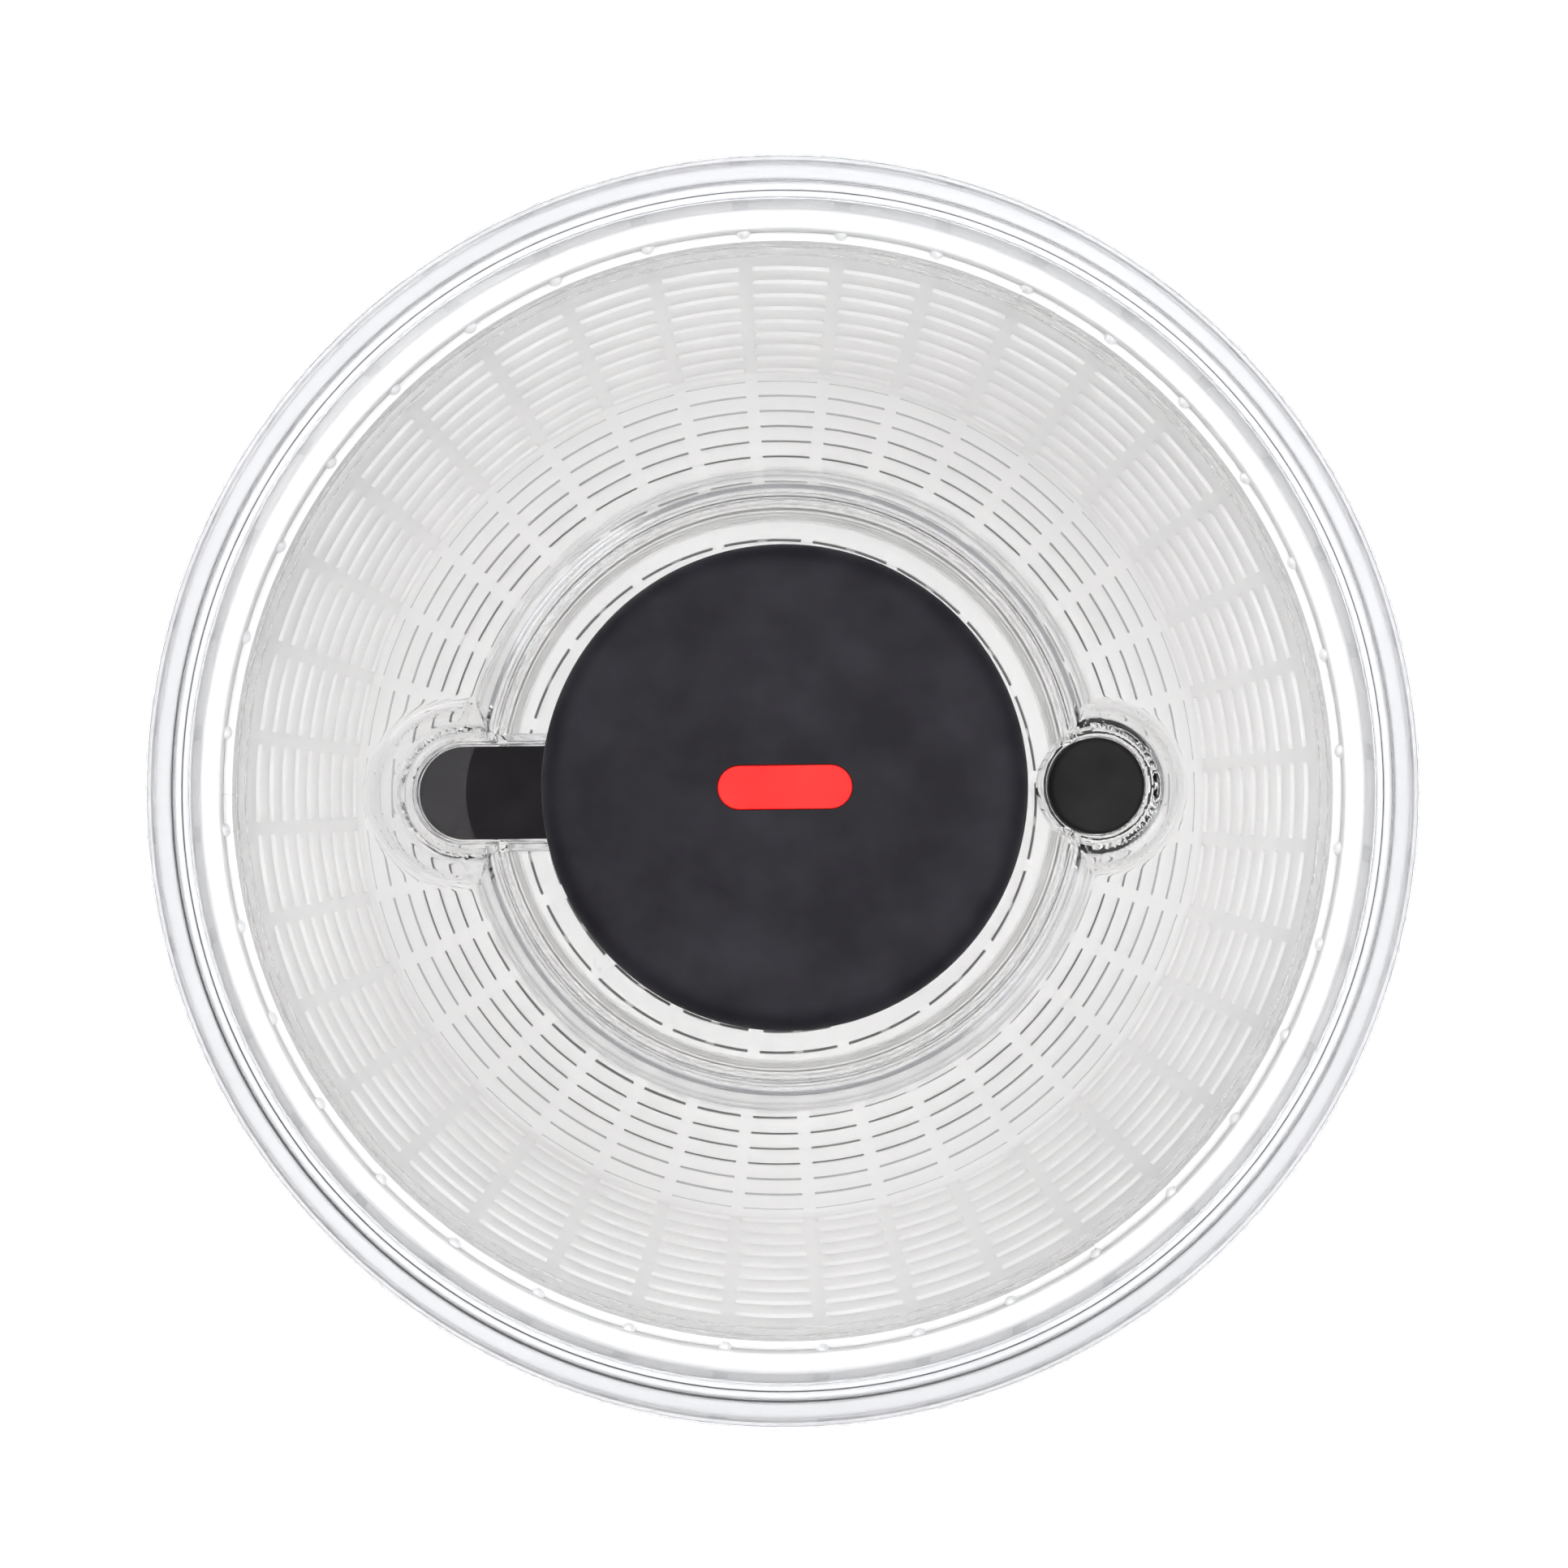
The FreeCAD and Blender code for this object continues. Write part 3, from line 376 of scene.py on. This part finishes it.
# ---- Bowl, disc ----
def build_bowl():
    """Clear bowl with a lip, a groove for its base ring and the cone that the basket turns on."""
    under, top = BOWL_FLOOR
    lip_under = BOWL_TOP - BOWL_LIP_HIGH

    def inner_r(z):
        """Radius of the bowl's inside at a height."""
        return BOWL_IN_R - (BOWL_TOP - z) * BOWL_TAPER

    bowl = spin("bowl_shell", rounded([
        (0, under), (FOOT_R[0], under, 0.3), (FOOT_R[0], FOOT_Z, 0.3), (FOOT_R[1], FOOT_Z, 0.3),
        (FOOT_R[1], under, 0.3), (inner_r(under) + BOWL_WALL, under, 21.0),
        (inner_r(lip_under) + BOWL_WALL, lip_under, 0.7), (BOWL_LIP_R, lip_under, 0.9),
        (BOWL_LIP_R, BOWL_TOP, 0.9), (BOWL_IN_R, BOWL_TOP, 0.7),
        (inner_r(top), top, 22.0), (9.0, top, 3.0), (3.5, PIVOT_TOP, 1.5), (0, PIVOT_TOP),
    ], 14), "bowl")
    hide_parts("bowl")
    return bowl


def build_disc():
    """Clear drive dish, and its lugs as a second piece."""
    dish = spin("drive_dish", rounded([
        (PLATE_HOLE_R, PLATE_Z[0], 0.2), (NECK_R[1], PLATE_Z[0], 2.0),
        (NECK_R[1], DISC_TOP - SKIN, 1.5), (DISC_R - SKIN, DISC_TOP - SKIN, 0.8),
        (DISC_R - SKIN, DISC_EDGE_LOW, 0.4), (DISC_R, DISC_EDGE_LOW, 0.4), (DISC_R, DISC_TOP, 2.0),
        (NECK_R[0], DISC_TOP, 2.5), (NECK_R[0], PLATE_Z[1], 1.0), (PLATE_HOLE_R, PLATE_Z[1], 0.2),
    ], 7), "drive")
    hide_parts("drive_disc")
    lugs = []
    for number in range(LUG_COUNT):
        bearing = math.radians(LUG_BEARING + 360.0 / LUG_COUNT * number)
        loops = []
        for z, shrink in LUG_LEVELS:
            half, tip, root = LUG_HALF - shrink, LUG_TIP_R - shrink, DISC_R - 1.0
            corners = ((root, -half), (tip, -half), (tip, half), (root, half))
            loops.append([(x * math.cos(bearing) - y * math.sin(bearing),
                           x * math.sin(bearing) + y * math.cos(bearing), z) for x, y in corners])
        lugs.append(stacked(loops))
    lug_piece = mesh_object("drive_lugs", *joined(lugs), "drive")
    return [dish, lug_piece]


# ---- Basket ----
# The slots are thinner here, and in more rows, than in the CAD model.
WALL_RINGS = 9
WALL_RING_TOP = 119.3
WALL_RING_PITCH = 11.75
WALL_SLOT_HIGH = 1.8
WALL_RING_LOW = WALL_RING_TOP - WALL_RING_PITCH * (WALL_RINGS - 1)
WALL_FOOT = WALL_RING_LOW - WALL_SLOT_HIGH / 2 - 0.6
FLOOR_RING_PITCH = 3.58
FLOOR_SLOT_WIDE = 0.5
FLOOR_OUTER_R = 97.6
CORNER_R = FLOOR_OUTER_R + FLOOR_SLOT_WIDE / 2
CORNER_RISE = WALL_FOOT - BASKET_FLOOR[1]
SLOTTED_FROM_R = 20.0
WIDE_CELL_R = 62.0            # inside this radius only every second rib crosses the slots
CELL_PARTS = 10               # columns of faces from one rib to the next
RIB_SIDES = 14
RIB_FLOOR_HIGH = 0.45
RIB_ROOT = 0.7                # how deep a rib's back reaches into the skin


def basket_inner_r(z):
    """Radius of the basket's inside at a height."""
    return BASKET_IN_R - (BASKET_TOP - z) * BASKET_TAPER


def basket_path():
    """Inside of the basket from the hub to the lip: (r, z, slotted span?) rows."""
    rows = [(12.0, BASKET_FLOOR[1], False)]
    rings = math.floor((FLOOR_OUTER_R - 16.0) / FLOOR_RING_PITCH)
    middle = FLOOR_OUTER_R - FLOOR_RING_PITCH * rings
    while middle <= FLOOR_OUTER_R + 0.1:
        rows.append((middle - FLOOR_SLOT_WIDE / 2, BASKET_FLOOR[1], True))
        rows.append((middle + FLOOR_SLOT_WIDE / 2, BASKET_FLOOR[1], False))
        middle += FLOOR_RING_PITCH
    end_r = basket_inner_r(WALL_FOOT)
    for step in range(1, 6):
        turn = math.radians(90.0 * step / 6)
        rows.append((CORNER_R + (end_r - CORNER_R) * math.sin(turn),
                     BASKET_FLOOR[1] + CORNER_RISE * (1 - math.cos(turn)), False))
    rows.append((end_r, WALL_FOOT, False))
    for ring in range(WALL_RINGS):
        middle = WALL_RING_LOW + ring * WALL_RING_PITCH
        below, above = middle - WALL_SLOT_HIGH / 2, middle + WALL_SLOT_HIGH / 2
        rows.append((basket_inner_r(below) - 0.15, below, True))
        rows.append((basket_inner_r(above) + 0.25, above, False))
    for z in (127.0, 133.0, 139.0, 142.5):
        rows.append((basket_inner_r(z), z, False))
    return rows


def build_basket():
    """Slotted skin and pivot cup, then the ribs, then the lip."""
    rows = basket_path()
    across = CELL_PARTS
    steps = RIB_COUNT * across
    points, faces = [], []
    for radius, z, _ in rows:
        web = min(0.5, 1.45 / (radius * math.radians(RIB_PITCH)) * (1.0 if radius > 60 else 1.25))
        for rib in range(RIB_COUNT):
            base = RIB_START + rib * RIB_PITCH
            for part in range(across):
                if part == 0:
                    share = 0.0
                else:
                    share = web + (1 - 2 * web) * (part - 1) / (across - 2)
                angle = math.radians(base + share * RIB_PITCH)
                points.append((radius * math.cos(angle), radius * math.sin(angle), z))
    for row in range(len(rows) - 1):
        slotted = rows[row][2]
        wide_cells = rows[row][0] < WIDE_CELL_R
        for step in range(steps):
            part = step % across
            rib = step // across
            open_part = 1 <= part < across - 1
            if wide_cells and part in (0, across - 1):
                side_rib = rib + (1 if part == across - 1 else 0)
                open_part = side_rib % 2 == 1
            if slotted and open_part and rows[row][0] > SLOTTED_FROM_R:
                continue
            after = (step + 1) % steps
            faces.append([row * steps + step, row * steps + after,
                          (row + 1) * steps + after, (row + 1) * steps + step])
    skin = mesh_object("basket_skin", points, faces, None, 50.0)
    thick = skin.modifiers.new("thickness", "SOLIDIFY")
    thick.thickness = BASKET_SKIN * MM
    thick.offset = -1.0
    thick.use_even_offset = True
    soften = skin.modifiers.new("soften", "BEVEL")
    soften.width = 0.28 * MM
    soften.segments = 2
    soften.limit_method = "ANGLE"
    soften.angle_limit = math.radians(50)
    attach(skin, "basket")
    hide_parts("basket")

    lip = spin("basket_lip", rounded([
        (basket_inner_r(142.0) + 0.1, LIP_Z[0], 0.3), (120.4, LIP_Z[0], 0.5),
        (LIP_OUT_R, 142.2, 0.4), (LIP_OUT_R, LIP_Z[1], 0.9), (117.8, LIP_Z[1], 0.8),
    ], 5), "basket")
    cup = spin("basket_cup", rounded([
        (0, PIVOT_TOP + 0.5), (4.5, PIVOT_TOP + 0.5, 1.0), (6.4, BASKET_FLOOR[0], 0.3),
        (CUP_OUT_R, BASKET_FLOOR[0], 0.3), (CUP_OUT_R, BASKET_FLOOR[1] + 0.05, 0.3),
        (9.5, BASKET_FLOOR[1], 2.0), (7.5, PIVOT_TOP + 3.0, 1.5), (0, PIVOT_TOP + 3.0),
    ], 6), "basket", 96)

    ribs = [rib_shape(math.radians(RIB_START + number * RIB_PITCH)) for number in range(RIB_COUNT)]
    rib_piece = mesh_object("basket_ribs", *joined(ribs), "basket", 50.0)
    return [skin, cup], [rib_piece], [lip]


def rib_path():
    """Middle of a rib from the hub to the lip: (r, z, inward normal, half-width, height) rows."""
    reach = basket_inner_r(WALL_FOOT) - CORNER_R
    rows = [(radius, BASKET_FLOOR[1], (0, 1), half, RIB_FLOOR_HIGH) for radius, half in (
        (14.0, 0.9), (40.0, 1.1), (70.0, 1.25), (CORNER_R, 1.35))]
    for step in range(1, 5):
        turn = math.radians(90.0 * step / 5)
        rows.append((CORNER_R + reach * math.sin(turn),
                     BASKET_FLOOR[1] + CORNER_RISE * (1 - math.cos(turn)),
                     (-math.sin(turn), math.cos(turn)), 1.35, RIB_FLOOR_HIGH + 0.15 * step))
    heights = []
    for ring in range(WALL_RINGS):
        mark = WALL_RING_LOW + WALL_RING_PITCH * ring
        size = 1.3 + 0.35 * (mark - 24.0) / 119.0
        heights += [(mark - 0.25, size - 0.28), (mark + 0.25, size + 0.16)]
    heights += [(142.6, 1.5), (143.6, 1.15), (144.0, 0.5)]
    rows += [(basket_inner_r(z), z, (-1, 0), size, size) for z, size in heights]
    return rows


def rib_shape(bearing):
    """Rib along the floor and up the wall, with a small ledge where it steps out at each ring."""
    loops = []
    for radius, z, normal, half, high in rib_path():
        loop = []
        for step in range(RIB_SIDES):
            angle = 2 * math.pi * step / RIB_SIDES
            out = (high if math.cos(angle) > 0 else RIB_ROOT) * math.cos(angle)
            side = half * math.sin(angle)
            r = radius + 0.15 * -normal[0] + out * normal[0]
            loop.append((r * math.cos(bearing) - side * math.sin(bearing),
                         r * math.sin(bearing) + side * math.cos(bearing), z + out * normal[1]))
        loops.append(loop)
    return stacked(loops)


# ---- Springs ----
TURN_STEPS = 36
WIRE_SIDES = 12


def build_spring(node, turns, wire, centre_x=0.0):
    """Round-wire coil filling its frame node's box, standing on its fixed end."""
    low, high = node_box(node)
    radius = (high[0] - low[0]) / 2 - wire / 2
    steps = turns * TURN_STEPS
    loops = []
    for step in range(steps + 1):
        angle = 2 * math.pi * turns * step / steps
        rise = low[2] + wire / 2 + (high[2] - low[2] - wire) * step / steps
        loop = []
        for side in range(WIRE_SIDES):
            turn = 2 * math.pi * side / WIRE_SIDES
            reach = radius + wire / 2 * math.cos(turn)
            loop.append((centre_x + reach * math.cos(angle), reach * math.sin(angle),
                         rise + wire / 2 * math.sin(turn)))
        loops.append(loop)
    piece = mesh_object(node + "_coil", *stacked(loops), "lid")
    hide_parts(node)
    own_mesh(piece)
    return piece


# ---- Materials ----
def new_material(name):
    """A material with its nodes, links, shader and output."""
    material = bpy.data.materials.new(name)
    material.use_nodes = True
    nodes = material.node_tree.nodes
    return material, nodes, material.node_tree.links, nodes["Principled BSDF"], nodes["Material Output"]


def noise(nodes, links, scale, detail=3.0, stretch=(1, 1, 1)):
    """Noise in the object's own space; scale is features per metre."""
    coordinates = nodes.new("ShaderNodeTexCoord")
    mapping = nodes.new("ShaderNodeMapping")
    mapping.inputs["Scale"].default_value = stretch
    texture = nodes.new("ShaderNodeTexNoise")
    texture.inputs["Scale"].default_value = scale
    texture.inputs["Detail"].default_value = detail
    links.new(coordinates.outputs["Object"], mapping.inputs["Vector"])
    links.new(mapping.outputs["Vector"], texture.inputs["Vector"])
    return texture.outputs["Fac"]


def ramp(nodes, links, source, low, high, start=0.35, end=0.65):
    """Colour ramp between two colours."""
    blend = nodes.new("ShaderNodeValToRGB")
    blend.color_ramp.elements[0].position = start
    blend.color_ramp.elements[1].position = end
    blend.color_ramp.elements[0].color = (*low, 1)
    blend.color_ramp.elements[1].color = (*high, 1)
    links.new(source, blend.inputs["Fac"])
    return blend.outputs["Color"]


def spread(nodes, links, source, low, high):
    """Maps noise to a range of values."""
    blend = nodes.new("ShaderNodeMapRange")
    blend.inputs["From Min"].default_value = 0.3
    blend.inputs["From Max"].default_value = 0.7
    blend.inputs["To Min"].default_value = low
    blend.inputs["To Max"].default_value = high
    links.new(source, blend.inputs["Value"])
    return blend.outputs["Result"]


def bump(nodes, links, source, depth, normal_to, strength=1.0):
    """Surface relief of the given depth in millimetres."""
    relief = nodes.new("ShaderNodeBump")
    relief.inputs["Distance"].default_value = depth * MM
    relief.inputs["Strength"].default_value = strength
    links.new(source, relief.inputs["Height"])
    links.new(relief.outputs["Normal"], normal_to.inputs["Normal"])


def clear_plastic(name, tint, shadow):
    """Clear moulded plastic: it refracts, and lets light through to what stands under it."""
    material, nodes, links, shader, output = new_material(name)
    low = [value * 0.992 for value in tint]
    links.new(ramp(nodes, links, noise(nodes, links, 22.0, 2.0), low, tint),
              shader.inputs["Base Color"])
    shader.inputs["Transmission Weight"].default_value = 1.0
    shader.inputs["Roughness"].default_value = 0.0
    shader.inputs["IOR"].default_value = 1.49
    bump(nodes, links, noise(nodes, links, 28.0, 1.0), 0.02, shader, 0.35)
    clear = nodes.new("ShaderNodeBsdfTransparent")
    clear.inputs["Color"].default_value = (*shadow, 1)
    path = nodes.new("ShaderNodeLightPath")
    mix = nodes.new("ShaderNodeMixShader")
    links.new(path.outputs["Is Shadow Ray"], mix.inputs["Fac"])
    links.new(shader.outputs["BSDF"], mix.inputs[1])
    links.new(clear.outputs["BSDF"], mix.inputs[2])
    links.new(mix.outputs["Shader"], output.inputs["Surface"])
    return material


def moulded_plastic(name, colour, roughness, variation=0.02, translucency=0.0, gloss=0.5):
    """Satin moulded plastic with faint flow marks and a fine tooled surface."""
    material, nodes, links, shader, output = new_material(name)
    low = [max(0.0, value - variation) for value in colour]
    high = [min(1.0, value + variation) for value in colour]
    links.new(ramp(nodes, links, noise(nodes, links, 45.0, 4.0), low, high),
              shader.inputs["Base Color"])
    rough = (roughness - 0.06, roughness + 0.06)
    links.new(spread(nodes, links, noise(nodes, links, 180.0, 4.0), *rough),
              shader.inputs["Roughness"])
    bump(nodes, links, noise(nodes, links, 1600.0, 3.0), 0.012, shader, 0.5)
    shader.inputs["Specular IOR Level"].default_value = gloss
    if translucency:
        through = nodes.new("ShaderNodeBsdfTranslucent")
        through.inputs["Color"].default_value = (*colour, 1)
        mix = nodes.new("ShaderNodeMixShader")
        mix.inputs["Fac"].default_value = translucency
        links.new(shader.outputs["BSDF"], mix.inputs[1])
        links.new(through.outputs["BSDF"], mix.inputs[2])
        links.new(mix.outputs["Shader"], output.inputs["Surface"])
    return material


def soft_rubber(name, colour, roughness, grain=0.02, gloss=0.5):
    """Soft elastomer: fine matt grain, slight bloom where it is handled."""
    material, nodes, links, shader, _ = new_material(name)
    worn = [min(1.0, value * 1.35 + 0.004) for value in colour]
    links.new(ramp(nodes, links, noise(nodes, links, 70.0, 5.0), colour, worn, 0.4, 0.75),
              shader.inputs["Base Color"])
    rough = (roughness - 0.05, roughness + 0.06)
    links.new(spread(nodes, links, noise(nodes, links, 240.0, 3.0), *rough),
              shader.inputs["Roughness"])
    bump(nodes, links, noise(nodes, links, 2600.0, 2.0), grain, shader, 0.6)
    shader.inputs["Specular IOR Level"].default_value = gloss
    return material


def steel(name, colour, roughness, brushed=(1, 1, 1)):
    """Bright or drawn steel with fine lengthwise marks."""
    material, nodes, links, shader, _ = new_material(name)
    shader.inputs["Metallic"].default_value = 1.0
    low = [value * 0.9 for value in colour]
    links.new(ramp(nodes, links, noise(nodes, links, 900.0, 4.0, brushed), low, colour),
              shader.inputs["Base Color"])
    rough = (roughness * 0.7, roughness * 1.3)
    links.new(spread(nodes, links, noise(nodes, links, 700.0, 3.0, brushed), *rough),
              shader.inputs["Roughness"])
    bump(nodes, links, noise(nodes, links, 1500.0, 3.0, brushed), 0.006, shader, 0.5)
    return material


def paint(pieces, material):
    """Gives one material to pieces or frame nodes, by object or by node name."""
    for piece in pieces:
        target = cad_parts[piece] if isinstance(piece, str) else piece
        target.data.materials.clear()
        target.data.materials.append(material)


# ---- Build ----
lid_piece = build_lid()
bowl_piece = build_bowl()
disc_pieces = build_disc()
basket_pieces, rib_pieces, lip_pieces = build_basket()
spring_pieces = [
    build_spring("return_spring", 9, 1.6),
    build_spring("brake_spring", 5, 0.8, BUTTON_X),
]

# The ribs and the lip are the basket's own white, painted darker as painted shade: the ribs for the
# shading along them, the lip to offset the brighter light that falls on it outside the clear disc.
paint([lid_piece], clear_plastic("clear_lid", (0.95, 0.954, 0.97), (0.99, 0.99, 0.995)))
paint([bowl_piece], clear_plastic("clear_bowl", (0.965, 0.968, 0.978), (0.99, 0.99, 0.995)))
paint(disc_pieces, clear_plastic("clear_disc", (0.985, 0.985, 0.98), (0.99, 0.99, 0.985)))
paint(basket_pieces, moulded_plastic("basket_plastic", (0.957, 0.950, 0.942), 0.38, 0.005, 0.28))
# Painted shade: the ribs' white darkened from the basket's 0.957 to 0.77.
paint(rib_pieces, moulded_plastic("rib_plastic_painted_shade", (0.77, 0.768, 0.762), 0.38, 0.005, 0.15))
# Painted shade: the lip's white darkened to 0.66, against the brighter light that reaches it.
paint(lip_pieces, moulded_plastic("lip_plastic_painted_shade", (0.66, 0.658, 0.65), 0.38, 0.005))
paint(["bowl_base_ring"], soft_rubber("base_ring_rubber", (0.62, 0.62, 0.61), 0.55, 0.01))
paint(["drive_hub", "drive_nut"], moulded_plastic("acetal_warm", (0.72, 0.70, 0.64), 0.36, 0.015))
paint(["thrust_washer", "hub_bearing", "knob_guide_bush"],
      moulded_plastic("acetal_white", (0.80, 0.80, 0.78), 0.34))
paint(["mechanism_housing"], moulded_plastic("housing_plastic", (0.78, 0.78, 0.76), 0.40))
paint(["knob_core"], moulded_plastic("core_plastic", (0.80, 0.80, 0.79), 0.36))
paint(["lock_lever"],
      moulded_plastic("lever_plastic", (0.010, 0.009, 0.010), 0.16, 0.0, gloss=0.18))
paint(["knob_grip"], soft_rubber("grip_rubber", (0.006, 0.0055, 0.0078), 0.55, 0.02, 0.08))
paint(["brake_button"], soft_rubber("button_rubber", (0.006, 0.0055, 0.006), 0.55, 0.02, 0.08))
paint(["brake_pad"], soft_rubber("pad_rubber", (0.06, 0.06, 0.06), 0.7))
paint(["knob_badge"],
      moulded_plastic("badge_plastic", (0.44, 0.004, 0.002), 0.35, 0.003, gloss=0.2))
paint(spring_pieces, steel("spring_wire", (0.70, 0.70, 0.70), 0.24))
paint(["spiral_spindle"], steel("spindle_bar", (0.68, 0.68, 0.68), 0.28, (1, 1, 0.05)))
paint(["disc_screws", "housing_screws", "spindle_screw"],
      steel("screw_metal", (0.74, 0.74, 0.74), 0.2))
paint(["hub_retaining_ring", "nut_washer", "brake_clip", "lock_clip"],
      steel("clip_metal", (0.60, 0.60, 0.60), 0.25))


# ---- Floor, light and camera ----
FLOOR_R = 0.55
FLOOR_Z = -0.0002
CAMERA_ROLL = math.radians(-0.65)
CAMERA_HIGH = 1.0             # metres above the lid's rim


def build_stage():
    """White paper and a studio that is dark at its horizon and bright overhead."""
    bpy.ops.mesh.primitive_circle_add(
        vertices=180, radius=FLOOR_R, fill_type="NGON", location=(0, 0, FLOOR_Z))
    floor = bpy.context.object
    floor.name = "floor"
    material, nodes, links, shader, _ = new_material("floor_paper")
    shader.inputs["Base Color"].default_value = (0.58, 0.58, 0.58, 1)
    shader.inputs["Roughness"].default_value = 0.9
    shader.inputs["Specular IOR Level"].default_value = 0.0
    floor.data.materials.append(material)

    world = bpy.data.worlds.new("studio")
    bpy.context.scene.world = world
    world.use_nodes = True
    nodes, links = world.node_tree.nodes, world.node_tree.links
    coordinates = nodes.new("ShaderNodeTexCoord")
    split = nodes.new("ShaderNodeSeparateXYZ")
    blend = nodes.new("ShaderNodeValToRGB")
    blend.color_ramp.elements[0].position = 0.0
    blend.color_ramp.elements[0].color = (0.10, 0.103, 0.125, 1)
    blend.color_ramp.elements[1].position = 0.75
    blend.color_ramp.elements[1].color = (1.0, 1.0, 1.0, 1)
    links.new(coordinates.outputs["Generated"], split.inputs["Vector"])
    links.new(split.outputs["Z"], blend.inputs["Fac"])
    links.new(blend.outputs["Color"], nodes["Background"].inputs["Color"])
    nodes["Background"].inputs["Strength"].default_value = 0.55


def soft_light(name, place, aim, size, power, mirrored=True):
    """Rectangular soft light; one that isn't mirrored lights surfaces but isn't seen in them."""
    lamp = bpy.data.lights.new(name, "AREA")
    lamp.shape = "RECTANGLE"
    lamp.size, lamp.size_y = size
    lamp.energy = power
    lamp.cycles.use_multiple_importance_sampling = mirrored
    light = bpy.data.objects.new(name, lamp)
    light.location = place
    light.rotation_euler = (Vector(aim) - Vector(place)).to_track_quat("-Z", "Y").to_euler()
    bpy.context.scene.collection.objects.link(light)


def build_camera():
    """Overhead camera, a little off the object's axis, one metre above the lid's rim."""
    rim_z = 0.153
    place = Vector((-0.005, -0.0084, rim_z + CAMERA_HIGH))
    aim = Vector((0.00019, 0.00128, rim_z))
    camera_data = bpy.data.cameras.new("camera")
    camera_data.lens = 110.3
    camera_data.sensor_width = 36.0
    camera = bpy.data.objects.new("camera", camera_data)
    camera.location = place
    back = (place - aim).normalized()
    across = Vector((math.cos(CAMERA_ROLL), math.sin(CAMERA_ROLL), 0))
    right = across.cross(back).cross(back) * -1
    right.normalize()
    camera.rotation_euler = Matrix((right, back.cross(right), back)).transposed().to_euler()
    bpy.context.scene.collection.objects.link(camera)
    bpy.context.scene.camera = camera


build_stage()
soft_light("overhead", (0.0, 0.1, 1.9), (0, 0, 0.1), (6.0, 6.0), 255.0, False)
soft_light("sheen", (0.0, 0.1, 1.95), (0, 0, 0.1), (2.2, 2.2), 6.0)
soft_light("key", (-0.9, 0.9, 1.3), (0, 0, 0.1), (0.8, 0.8), 6.0)
soft_light("fill", (1.2, -0.8, 1.2), (0, 0, 0.1), (1.0, 0.8), 5.0)
build_camera()
bpy.context.scene.view_settings.view_transform = "Standard"


def limit_bounces():
    """Bounce limits that let light through the nested clear shells."""
    cycles = bpy.context.scene.cycles
    cycles.max_bounces = 24
    cycles.diffuse_bounces = 7
    cycles.glossy_bounces = 12
    cycles.transmission_bounces = 20
    cycles.transparent_max_bounces = 24
    cycles.caustics_reflective = False
    cycles.caustics_refractive = False


limit_bounces()
